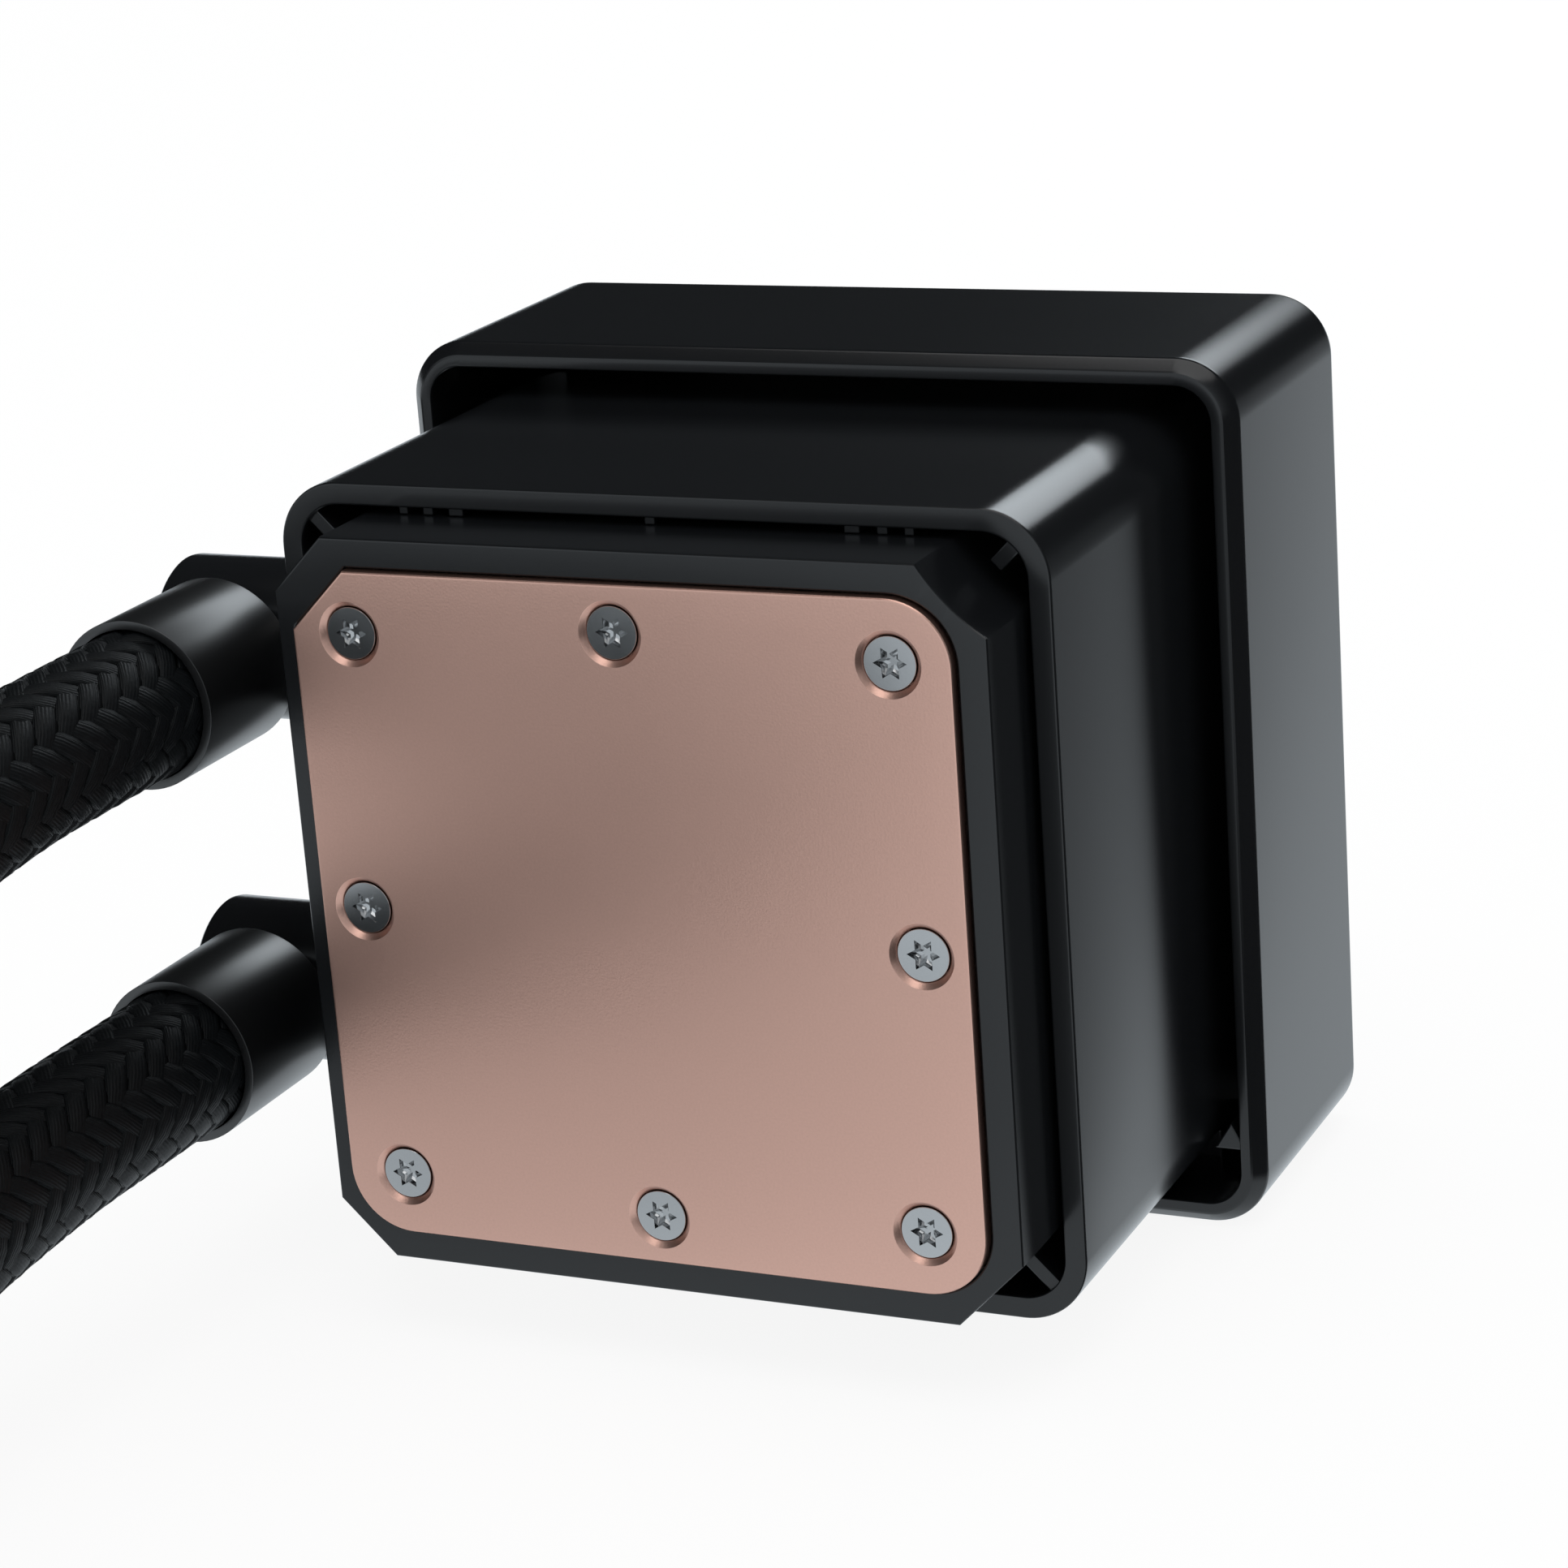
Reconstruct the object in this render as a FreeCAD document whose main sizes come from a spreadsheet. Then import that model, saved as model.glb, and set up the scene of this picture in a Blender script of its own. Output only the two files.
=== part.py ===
import FreeCAD, Part
import Sketcher
import math
import os
import re

# A sealed liquid cooler for a processor: a pump block with a copper cold plate, two swivel
# elbows with crimped hoses, and a small radiator. +X right, +Z up, and +Y points from the cold
# plate into the pump block. The origin is the centre of the cold plate's outer face.

Vector = FreeCAD.Vector

# Driving dimensions in millimetres: alias, value, meaning.
SIZES = (
    ("plate_side", 56.0, "cold plate across its flats"),
    ("plate_thickness", 3.0, "cold plate without its fins"),
    ("plate_round", 5.3, "radius of three plate corners"),
    ("plate_cut", 4.9, "straight cut of the marked plate corner"),
    ("plate_proud", 0.7, "plate face in front of the pump body"),
    ("plate_clearance", 0.12, "gap round the plate in its recess"),
    ("fin_field", 28.0, "side of the square of skived fins"),
    ("fin_tall", 2.4, "height of a skived fin"),
    ("fin_thickness", 0.45, "thickness of a skived fin"),
    ("fin_pitch", 1.45, "skived fins, middle to middle"),
    ("fin_total", 20, "number of skived fins"),
    ("screw_corner", 22.9, "corner screws, from the centre along X and Z"),
    ("screw_middle", 24.1, "middle screws, from the centre"),
    ("head_radius", 2.22, "plate screw head"),
    ("head_thickness", 1.2, "plate screw head"),
    ("head_sink", 0.45, "plate screw head below the plate face"),
    ("pocket_radius", 2.65, "pocket round a plate screw head"),
    ("pocket_bevel", 0.25, "bevel round the pocket's mouth"),
    ("shank_radius", 1.2, "plate screw shank"),
    ("shank_length", 6.0, "plate screw shank below the head"),
    ("star_radius", 1.22, "tips of the six-lobe recess"),
    ("star_valley", 0.7, "valleys of the six-lobe recess"),
    ("star_depth", 0.9, "depth of the six-lobe recess"),
    ("hole_clearance", 0.1, "screw shank in a clearance hole"),
    ("body_left", 29.7, "pump body, left side from the axis"),
    ("body_right", 30.6, "pump body, right side from the axis"),
    ("body_top", 30.5, "pump body, top side from the axis"),
    ("body_bottom", 30.7, "pump body, under side from the axis"),
    ("body_cut_sum", 55.7, "X plus Z on the pump body's corner cuts"),
    ("body_back", 32.0, "rear face of the pump body"),
    ("scallop_radius", 10.6, "shallow hollow in one corner cut"),
    ("scallop_depth", 0.4, "shallow hollow in one corner cut"),
    ("chamber_side", 39.6, "water chamber behind the plate"),
    ("chamber_back", 7.8, "rear of the water chamber"),
    ("seal_centre", 21.25, "plate seal from the axis"),
    ("seal_width", 1.5, "section of the plate seal"),
    ("jet_side", 31.0, "jet plate over the fins"),
    ("jet_thickness", 0.8, "jet plate"),
    ("jet_slot", 3.0, "slot across the jet plate"),
    ("eye_radius", 5.0, "opening into the impeller's eye"),
    ("volute_radius", 15.0, "impeller chamber"),
    ("volute_front", 12.0, "front wall of the impeller chamber"),
    ("volute_back", 20.0, "rear wall of the impeller chamber"),
    ("stator_bore", 17.5, "dry recess round the stator"),
    ("impeller_radius", 13.4, "impeller"),
    ("impeller_gap", 0.5, "impeller to the chamber walls, along the axis"),
    ("blade_tall", 3.4, "impeller blades"),
    ("blade_thickness", 0.9, "impeller blades"),
    ("disc_thickness", 1.4, "impeller disc"),
    ("hub_radius", 3.0, "impeller hub"),
    ("magnet_radius", 8.2, "rotor magnet"),
    ("magnet_length", 8.0, "rotor magnet"),
    ("magnet_start", 0.7, "rotor magnet behind the impeller chamber's rear wall"),
    ("can_gap", 0.45, "rotor magnet to its can"),
    ("can_wall", 0.7, "rotor can"),
    ("can_flange", 1.2, "flange of the rotor can"),
    ("can_end_gap", 1.0, "rotor to the can's closed end"),
    ("shaft_radius", 1.25, "fixed shaft"),
    ("bearing_radius", 2.2, "sleeve bearings"),
    ("bearing_length", 3.0, "sleeve bearings"),
    ("running_gap", 0.05, "radial gap of a running fit"),
    ("coil_thickness", 2.2, "winding round a stator pole"),
    ("pole_total", 6, "stator poles"),
    ("pole_width", 3.4, "stator poles"),
    ("stator_length", 6.0, "stator stack along the axis"),
    ("stator_start", 2.3, "stator behind the impeller chamber's rear wall"),
    ("stator_yoke", 2.6, "stator ring"),
    ("board_side", 43.0, "circuit board"),
    ("board_thickness", 1.6, "circuit board"),
    ("shroud_gap", 0.45, "shroud's walls to the pump body's under side"),
    ("shroud_wall", 1.85, "shroud wall"),
    ("shroud_half", "=body_bottom + shroud_gap + shroud_wall", "shroud, outside from the axis"),
    ("shroud_round", 5.5, "shroud, outer corner radius"),
    ("shroud_front", 7.9, "front rim of the shroud"),
    ("rib_thickness", 1.2, "corner ribs of the shroud"),
    ("rib_front", 0.4, "corner ribs behind the shroud's rim"),
    ("rib_short", 2.4, "corner rib short of the pump body at the hollow"),
    ("post_depth", 4.0, "retaining posts along the axis"),
    ("boss_radius", 3.2, "screw bosses in the shroud"),
    ("boss_reach", 25.2, "screw bosses, from the axis along X and Z"),
    ("boss_length", 4.0, "screw bosses behind the pump body"),
    ("back_plate_thickness", 2.4, "plate that closes the shroud"),
    ("back_plate_gap", 0.3, "back plate inside the shroud"),
    ("frame_screw_radius", 1.25, "screws through the back plate"),
    ("frame_head_radius", 2.3, "heads of the frame screws"),
    ("frame_head_tall", 1.8, "heads of the frame screws"),
    ("frame_screw_grip", 6.0, "frame screws inside the pump body"),
    ("cap_gap", 2.4, "cap's side walls to the shroud"),
    ("cap_front", 38.2, "front rim of the cap"),
    ("cap_depth", 27.0, "cap along the axis"),
    ("cap_wall", 2.1, "cap side walls"),
    ("cap_half", "=shroud_half + cap_gap + cap_wall", "outer cap, outside from the axis"),
    ("cap_floor", 2.5, "cap rear wall"),
    ("cap_round", 5.2, "cap, outer corner radius"),
    ("cap_bevel", 1.1, "bevel round the cap's front rim"),
    ("cap_rear_round", 1.4, "rounding round the cap's rear face"),
    ("spacer_width", 3.0, "spacer ribs inside the cap"),
    ("spacer_shift", 28.8, "spacer ribs, from the middle of each wall"),
    ("spacer_front", 3.0, "spacer ribs behind the cap's rim"),
    ("port_y", 23.0, "axis of the two side ports"),
    ("port_upper", 15.0, "upper port above the axis"),
    ("port_lower", 16.2, "lower port below the axis"),
    ("barrel_radius", 6.9, "elbow barrel"),
    ("barrel_end", 52.2, "outer end of the barrel from the axis"),
    ("barrel_gap", 0.3, "elbow barrel to its neighbours"),
    ("barrel_edge", 0.6, "rounding of the barrel's outer end"),
    ("plug_radius", 5.0, "elbow plug in the port"),
    ("plug_inner", 19.5, "inner end of the plug from the axis"),
    ("neck_radius", 4.0, "neck of the plug under its clip"),
    ("neck_at", 27.0, "middle of the neck from the axis"),
    ("clip_thickness", 0.9, "elbow clip"),
    ("clip_half", 6.4, "elbow clip, half its width"),
    ("seal_minor", 0.7, "section radius of the elbow seals"),
    ("seal_pitch", 2.4, "elbow seals, middle to middle"),
    ("bore_radius", 2.9, "water way through the elbows"),
    ("ferrule_x", 45.3, "ferrule axis from the centre"),
    ("ferrule_radius", 7.2, "crimped ferrule"),
    ("ferrule_front", 2.5, "ferrule's mouth along Y"),
    ("ferrule_length", 13.5, "crimped ferrule"),
    ("ferrule_edge", 0.45, "rounding round the ferrule's mouth"),
    ("ferrule_lip", 1.0, "inward lip of the ferrule"),
    ("crimp_gap", 0.05, "hose in the ferrule and over the barb"),
    ("barb_radius", 4.2, "barb inside the hose"),
    ("barb_length", 10.4, "barb inside the hose"),
    ("barb_pitch", 2.6, "ridges on the barb"),
    ("hose_radius", 6.4, "sleeved hose"),
    ("ground", 37.5, "surface that the cooler lies on, below the axis"),
    ("rad_middle", 215.0, "radiator's middle from the axis, to the left"),
    ("rad_front", 80.0, "radiator's front tank in front of the plate"),
    ("rad_length", 154.0, "radiator along Y"),
    ("rad_width", 120.0, "radiator along X"),
    ("rad_thickness", 27.0, "radiator along Z"),
    ("tank_front_length", 17.0, "tank with the hose connections"),
    ("tank_rear_length", 13.0, "plain tank"),
    ("tank_wall", 1.5, "tank walls"),
    ("tank_round", 2.0, "tank edges"),
    ("side_wall", 1.5, "radiator side channels"),
    ("side_flange", 12.5, "flanges of the side channels"),
    ("fan_side", 7.5, "fan screw holes from the radiator's sides"),
    ("fan_end", 9.5, "fan screw holes from the tanks"),
    ("fan_hole", 1.6, "radius of a fan screw hole"),
    ("tube_total", 11, "flat tubes"),
    ("tube_thickness", 2.0, "flat tubes along X"),
    ("tube_depth", 20.0, "flat tubes along Z"),
    ("tube_wall", 0.35, "flat tubes"),
    ("tube_entry", 1.5, "flat tubes inside each tank"),
    ("fold_total", 20, "folds of each fin strip"),
    ("fold_thickness", 0.3, "fin strips"),
    ("barb_spacing", 30.0, "radiator connections, middle to middle"),
    ("collar_radius", 6.9, "collars under the radiator's ferrules"),
    ("collar_length", 5.0, "collars under the radiator's ferrules"),
    ("plug_head", 3.6, "filling screw"),
    ("plug_tall", 1.4, "filling screw outside the tank"),
)

# Retaining posts between the pump body's top and the shroud: middle and width along X.
POSTS = ((21.7, 0.8), (19.5, 0.9), (17.0, 1.3))

# The hoses' routes, point by point, from the barb in the elbow to the barb on the radiator.
UPPER_ROUTE = (
    (-45.3, 14.95, 15.0),
    (-45.3, -3.9, 15.0),
    (-47.2, -17.7, 13.9),
    (-50.1, -41.9, 8.3),
    (-51.0, -74.5, -9.2),
    (-48.5, -104.7, -24.3),
    (-56.9, -137.1, -30.6),
    (-78.5, -164.0, -31.0),
    (-111.9, -179.4, -31.0),
    (-149.8, -177.2, -30.6),
    (-181.8, -157.1, -26.8),
    (-200.0, -124.0, -24.0),
    (-200.0, -86.05, -24.0),
)
LOWER_ROUTE = (
    (-45.3, 14.95, -16.2),
    (-45.3, -3.9, -16.2),
    (-47.1, -17.7, -17.2),
    (-47.9, -42.6, -20.3),
    (-42.3, -74.6, -26.7),
    (-36.9, -104.5, -30.7),
    (-41.5, -137.3, -31.0),
    (-62.9, -170.6, -30.9),
    (-102.4, -193.4, -30.8),
    (-172.9, -192.9, -31.0),
    (-209.4, -168.6, -29.2),
    (-230.0, -129.7, -24.0),
    (-230.0, -86.05, -24.0),
)

doc = FreeCAD.newDocument("liquid_cooler")
sheet = doc.addObject("Spreadsheet::Sheet", "sizes")
for row, (alias, value, meaning) in enumerate(SIZES, start=1):
    sheet.set("A%d" % row, meaning)
    sheet.set("B%d" % row, str(value))
    sheet.setAlias("B%d" % row, alias)
doc.recompute()
ALIASES = {alias for alias, value, meaning in SIZES}
nodes = []


def bound(formula):
    """The formula with each alias written as a cell of the sheet."""
    return re.sub(r"[a-z_]+", lambda w: "sizes." + w[0] if w[0] in ALIASES else w[0], str(formula))


def size(formula):
    """The formula's value in millimetres."""
    return float(sheet.evalExpression(bound(formula)))


def bind(thing, prop, formula):
    thing.setExpression(prop, bound(formula))


def node(thing, label):
    """Names a finished sub-part."""
    thing.Label = label
    nodes.append(thing)
    return thing


# Part primitives and booleans

TURN = {
    "x": FreeCAD.Rotation(Vector(0, 1, 0), 90),
    "y": FreeCAD.Rotation(Vector(1, 0, 0), -90),
    "z": FreeCAD.Rotation(),
}


def place(thing, at, axis="z"):
    thing.Placement = FreeCAD.Placement(Vector(), TURN[axis])
    for letter, formula in zip("xyz", at):
        bind(thing, "Placement.Base." + letter, formula)
    return thing


def rod(radius, length, at, axis="y"):
    """A cylinder that starts at a point and runs along +X, +Y or +Z."""
    thing = doc.addObject("Part::Cylinder", "rod")
    bind(thing, "Radius", radius)
    bind(thing, "Height", length)
    return place(thing, at, axis)


def cone(radius, end_radius, length, at, axis="y"):
    thing = doc.addObject("Part::Cone", "cone")
    bind(thing, "Radius1", radius)
    bind(thing, "Radius2", end_radius)
    bind(thing, "Height", length)
    return place(thing, at, axis)


def block(x_size, y_size, z_size, at):
    """A box between its lowest corner and its three sizes."""
    thing = doc.addObject("Part::Box", "block")
    bind(thing, "Length", x_size)
    bind(thing, "Width", y_size)
    bind(thing, "Height", z_size)
    return place(thing, at)


def ring(major, minor, at, axis="y"):
    thing = doc.addObject("Part::Torus", "ring")
    bind(thing, "Radius1", major)
    bind(thing, "Radius2", minor)
    return place(thing, at, axis)


def fused(pieces):
    if len(pieces) == 1:
        return pieces[0]
    thing = doc.addObject("Part::MultiFuse", "fused")
    thing.Shapes = list(pieces)
    return thing


def cut(base, tools):
    thing = doc.addObject("Part::Cut", "cut")
    thing.Base = base
    thing.Tool = fused(tools)
    return thing


def group(pieces):
    """Separate solids that share one node."""
    thing = doc.addObject("Part::Compound", "group")
    thing.Links = list(pieces)
    return thing


# Sketches and features

def new_body(name):
    return doc.addObject("PartDesign::Body", name)


def sketch_on(body, name, role, offset):
    """An empty sketch, offset along the normal of one of the body's origin planes."""
    plane = next(f for f in body.Origin.OriginFeatures if f.Role == role)
    sketch = body.newObject("Sketcher::SketchObject", name)
    sketch.AttachmentSupport = [(plane, "")]
    sketch.MapMode = "FlatFace"
    bind(sketch, "AttachmentOffset.Base.z", offset)
    return sketch


def rule(sketch, formula, *constraint):
    """Adds a driving constraint whose value follows the sheet."""
    index = sketch.addConstraint(Sketcher.Constraint(*constraint, size(formula)))
    bind(sketch, "Constraints[%d]" % index, formula)


def fix_point(sketch, line, end, point):
    rule(sketch, point[0], "DistanceX", -1, 1, line, end)
    rule(sketch, point[1], "DistanceY", -1, 1, line, end)


def line_between(sketch, start, end):
    ends = [Vector(size(p[0]), size(p[1]), 0) for p in (start, end)]
    line = sketch.addGeometry(Part.LineSegment(*ends))
    fix_point(sketch, line, 1, start)
    fix_point(sketch, line, 2, end)
    return line


def polygon(sketch, points):
    """A closed outline of straight lines through points given as formulas."""
    lines = [
        line_between(sketch, point, points[(i + 1) % len(points)])
        for i, point in enumerate(points)
    ]
    return lines


def circle(sketch, radius, x="0", y="0"):
    item = sketch.addGeometry(
        Part.Circle(Vector(size(x), size(y), 0), Vector(0, 0, 1), size(radius))
    )
    rule(sketch, x, "DistanceX", -1, 1, item, 3)
    rule(sketch, y, "DistanceY", -1, 1, item, 3)
    rule(sketch, radius, "Radius", item)


def panel(sketch, left, right, bottom, top, corners):
    """A rectangle whose corners, from bottom left and counter-clockwise, are rounded or cut."""
    signs = ((-1, -1), (1, -1), (1, 1), (-1, 1))
    spots = ((left, bottom), (right, bottom), (right, top), (left, top))
    ends = []
    for (x, y), (side_x, side_y), (kind, reach) in zip(spots, signs, corners):
        inner_x = "%s %s (%s)" % (x, "-" if side_x > 0 else "+", reach)
        inner_y = "%s %s (%s)" % (y, "-" if side_y > 0 else "+", reach)
        on_side = (x, inner_y)
        on_flat = (inner_x, y)
        pair = (on_side, on_flat) if side_x * side_y > 0 else (on_flat, on_side)
        ends.append((pair, kind, reach, (inner_x, inner_y)))
    lines = []
    for i, (pair, kind, reach, middle) in enumerate(ends):
        following = ends[(i + 1) % 4][0]
        lines.append(line_between(sketch, pair[1], following[0]))
    for i, (pair, kind, reach, middle) in enumerate(ends):
        before, after = lines[i - 1], lines[i]
        if kind == "cut":
            line_between(sketch, pair[0], pair[1])
            continue
        centre = Vector(size(middle[0]), size(middle[1]), 0)
        first = Vector(size(pair[0][0]), size(pair[0][1]), 0) - centre
        start = math.atan2(first.y, first.x)
        bow = Part.Circle(centre, Vector(0, 0, 1), size(reach))
        arc = sketch.addGeometry(Part.ArcOfCircle(bow, start, start + math.pi / 2))
        sketch.addConstraint(Sketcher.Constraint("Coincident", arc, 1, before, 2))
        sketch.addConstraint(Sketcher.Constraint("Coincident", arc, 2, after, 1))
        rule(sketch, reach, "Radius", arc)


def square(sketch, half, radius):
    """A square about the axis with four equal rounded corners."""
    low = "-(%s)" % half
    panel(sketch, low, half, low, half, [("round", radius)] * 4)


def pad(body, sketch, length, backwards=True):
    """Material from the sketch; backwards, on a sketch that faces -Y, means along +Y."""
    feature = body.newObject("PartDesign::Pad", "pad")
    feature.Profile = sketch
    feature.Reversed = backwards
    bind(feature, "Length", length)
    return feature


def pocket(body, sketch, length, backwards=False):
    """A pocket that starts on the sketch and, on a sketch that faces -Y, runs along +Y."""
    feature = body.newObject("PartDesign::Pocket", "pocket")
    feature.Profile = sketch
    feature.Reversed = backwards
    bind(feature, "Length", length)
    return feature


def edges_where(shape, wanted):
    return ["Edge%d" % (i + 1) for i, edge in enumerate(shape.Edges) if wanted(edge)]


def lies_at(edge, axis, value):
    """Whether a whole edge lies in a plane across X, Y or Z."""
    low, high = {
        "x": (edge.BoundBox.XMin, edge.BoundBox.XMax),
        "y": (edge.BoundBox.YMin, edge.BoundBox.YMax),
        "z": (edge.BoundBox.ZMin, edge.BoundBox.ZMax),
    }[axis]
    return abs(low - value) < 1e-4 and abs(high - value) < 1e-4


def dress(body, kind, wanted, amount):
    """A PartDesign chamfer or fillet on the body's edges that pass a test."""
    doc.recompute()
    base = body.Tip
    feature = body.newObject("PartDesign::" + kind, kind.lower())
    feature.Base = (base, edges_where(base.Shape, wanted))
    bind(feature, "Size" if kind == "Chamfer" else "Radius", amount)
    return feature


def soften(base, wanted, amount):
    """A Part fillet on the edges of a boolean result that pass a test."""
    doc.recompute()
    thing = doc.addObject("Part::Fillet", "softened")
    thing.Base = base
    numbers = [int(name[4:]) for name in edges_where(base.Shape, wanted)]
    thing.Edges = [(number, size(amount), size(amount)) for number in numbers]
    return thing


# Cold plate, its screws and its seal

def screw_spots():
    """X and Z of the eight plate screws as formulas."""
    spots = [
        ("%sscrew_corner" % a, "%sscrew_corner" % b) for a in ("", "-") for b in ("", "-")
    ]
    spots += [("screw_middle", "0"), ("-screw_middle", "0")]
    spots += [("0", "screw_middle"), ("0", "-screw_middle")]
    return spots


def cold_plate():
    body = new_body("cold_plate")
    outline = sketch_on(body, "plate_outline", "XZ_Plane", "0")
    half = "plate_side / 2"
    rounded = ("round", "plate_round")
    corners = [rounded, rounded, rounded, ("cut", "plate_cut")]
    panel(outline, "-" + half, half, "-" + half, half, corners)
    pad(body, outline, "plate_thickness")
    pockets = sketch_on(body, "screw_pockets", "XZ_Plane", "0")
    for x, z in screw_spots():
        circle(pockets, "pocket_radius", x, z)
    pocket(body, pockets, "head_sink + head_thickness")
    holes = sketch_on(body, "screw_holes", "XZ_Plane", "0")
    for x, z in screw_spots():
        circle(holes, "shank_radius + hole_clearance", x, z)
    pocket(body, holes, "plate_thickness * 2")
    fin = sketch_on(body, "first_fin", "XZ_Plane", "-plate_thickness")
    left = "-fin_pitch * (fin_total - 1) / 2 - fin_thickness / 2"
    right = "-fin_pitch * (fin_total - 1) / 2 + fin_thickness / 2"
    low, high = "-fin_field / 2", "fin_field / 2"
    polygon(fin, [(left, low), (right, low), (right, high), (left, high)])
    first = pad(body, fin, "fin_tall")
    row = body.newObject("PartDesign::LinearPattern", "fin_row")
    row.Originals = [first]
    row.Direction = (fin, ["H_Axis"])
    bind(row, "Length", "fin_pitch * (fin_total - 1)")
    row.Occurrences = int(size("fin_total"))
    body.Tip = row
    reach = size("pocket_radius")
    dress(
        body,
        "Chamfer",
        lambda e: lies_at(e, "y", 0) and abs(e.BoundBox.XLength - 2 * reach) < 0.01,
        "pocket_bevel",
    )
    node(body, "cold_plate")


def star_points():
    """The six-lobe recess as twelve points about its own centre."""
    points = []
    for i in range(12):
        radius = "star_radius" if i % 2 == 0 else "star_valley"
        points.append((radius, 30 * i))
    return points


def plate_screw(x, z):
    body = new_body("plate_screw")
    head = sketch_on(body, "screw_head", "XZ_Plane", "-head_sink")
    circle(head, "head_radius", x, z)
    pad(body, head, "head_thickness")
    shank = sketch_on(body, "screw_shank", "XZ_Plane", "-head_sink - head_thickness")
    circle(shank, "shank_radius", x, z)
    pad(body, shank, "shank_length")
    recess = sketch_on(body, "six_lobes", "XZ_Plane", "-head_sink")
    corners = [
        ("%s + %s * cos(%d)" % (x, radius, angle), "%s + %s * sin(%d)" % (z, radius, angle))
        for radius, angle in star_points()
    ]
    polygon(recess, corners)
    pocket(body, recess, "star_depth")
    return body


def plate_screws():
    node(group([plate_screw(x, z) for x, z in screw_spots()]), "plate_screws")


def plate_seal():
    """A rounded square of rubber between the plate's back and the pump body."""
    body = new_body("plate_seal")
    outline = sketch_on(body, "seal_outline", "XZ_Plane", "-plate_thickness")
    square(outline, "seal_centre + seal_width / 2", "3.5")
    square(outline, "seal_centre - seal_width / 2", "2.0")
    pad(body, outline, "seal_width")
    node(body, "plate_seal")


def jet_plate():
    """A thin plate over the fins with a slot that lets the water in along their middle."""
    y = "plate_thickness + fin_tall"
    half = "-jet_side / 2"
    sheet_metal = block("jet_side", "jet_thickness", "jet_side", (half, y, half))
    slot = block("jet_side - 6", "jet_thickness * 3", "jet_slot",
                 ("-(jet_side - 6) / 2", y + " - jet_thickness", "-jet_slot / 2"))
    node(cut(sheet_metal, [slot]), "jet_plate")


# Pump body

def octagon(sketch, inset):
    """The pump body's outline: unequal sides and corner cuts on common 45 degree lines."""
    right = "body_right - %s" % inset
    left = "-(body_left - %s)" % inset
    top = "body_top - %s" % inset
    bottom = "-(body_bottom - %s)" % inset
    total = "(body_cut_sum - %s * 1.414)" % inset
    polygon(sketch, [
        (left, "-(%s + %s)" % (total, left)),
        ("-(%s + %s)" % (total, bottom), bottom),
        ("%s + %s" % (total, bottom), bottom),
        (right, "-(%s - (%s))" % (total, right)),
        (right, "%s - (%s)" % (total, right)),
        ("%s - (%s)" % (total, top), top),
        ("-(%s - (%s))" % (total, top), top),
        (left, "%s + %s" % (total, left)),
    ])


def pump_body():
    body = new_body("pump_housing")
    outline = sketch_on(body, "housing_outline", "XZ_Plane", "-plate_proud")
    octagon(outline, "0")
    pad(body, outline, "body_back - plate_proud")
    recess = sketch_on(body, "plate_recess", "XZ_Plane", "-plate_proud")
    half = "(plate_side / 2 + plate_clearance)"
    rounded = ("round", "plate_round + plate_clearance")
    corners = [rounded, rounded, rounded, ("cut", "plate_cut + plate_clearance * 0.6")]
    panel(recess, "-" + half, half, "-" + half, half, corners)
    pocket(body, recess, "plate_thickness - plate_proud")
    groove = sketch_on(body, "seal_groove", "XZ_Plane", "-plate_thickness")
    square(groove, "seal_centre + seal_width / 2 + crimp_gap", "3.5")
    square(groove, "seal_centre - seal_width / 2 - crimp_gap", "2.0")
    pocket(body, groove, "seal_width")
    water = sketch_on(body, "water_chamber", "XZ_Plane", "-plate_thickness")
    square(water, "chamber_side / 2", "1.5")
    pocket(body, water, "chamber_back - plate_thickness")
    eye = sketch_on(body, "eye", "XZ_Plane", "-chamber_back")
    circle(eye, "eye_radius")
    pocket(body, eye, "volute_front - chamber_back")
    volute = sketch_on(body, "volute", "XZ_Plane", "-volute_front")
    circle(volute, "volute_radius")
    pocket(body, volute, "volute_back - volute_front")
    dry = sketch_on(body, "stator_recess", "XZ_Plane", "-volute_back")
    circle(dry, "stator_bore")
    pocket(body, dry, "body_back - volute_back")
    taps = sketch_on(body, "screw_taps", "XZ_Plane", "-plate_thickness")
    for x, z in screw_spots():
        circle(taps, "shank_radius + crimp_gap", x, z)
    pocket(body, taps, "shank_length")
    ears = sketch_on(body, "frame_taps", "XZ_Plane", "-(body_back - frame_screw_grip - 0.5)")
    for x, z in frame_spots():
        circle(ears, "frame_screw_radius + crimp_gap", x, z)
    pocket(body, ears, "frame_screw_grip + 1")
    tools = []
    for z, inner in (("port_upper", "16"), ("-port_lower", "13.5")):
        tools.append(rod("plug_radius + running_gap", "body_left - plug_inner + 1",
                         ("-body_left - 1", "port_y", z), "x"))
        tools.append(rod("bore_radius", "plug_inner - %s + 1" % inner,
                         ("-plug_inner - 1", "port_y", z), "x"))
        wide = "clip_half * 2 + crimp_gap * 2"
        tools.append(block("clip_thickness + crimp_gap * 2", "body_back - port_y + clip_half + 1", wide,
                           ("-neck_at - clip_thickness / 2 - crimp_gap", "port_y - clip_half",
                            z + " - clip_half - crimp_gap")))
    tools.append(rod("bore_radius", "port_y - chamber_back + 1",
                     ("-16", "chamber_back - 1", "port_upper"), "y"))
    tools.append(rod("bore_radius", "port_lower - 4", ("-13.5", "16", "-port_lower"), "z"))
    tools.append(rod("bore_radius", "port_y - 14", ("-13.5", "14", "-port_lower"), "y"))
    middle = "(body_cut_sum / 2 + (scallop_radius - scallop_depth) * 0.7071)"
    tools.append(rod("scallop_radius", "body_back - 2", (middle, "plate_proud - 1", middle), "y"))
    hollowed = body
    for tool in tools:
        hollowed = cut(hollowed, [tool])
    node(hollowed, "pump_body")


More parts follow.
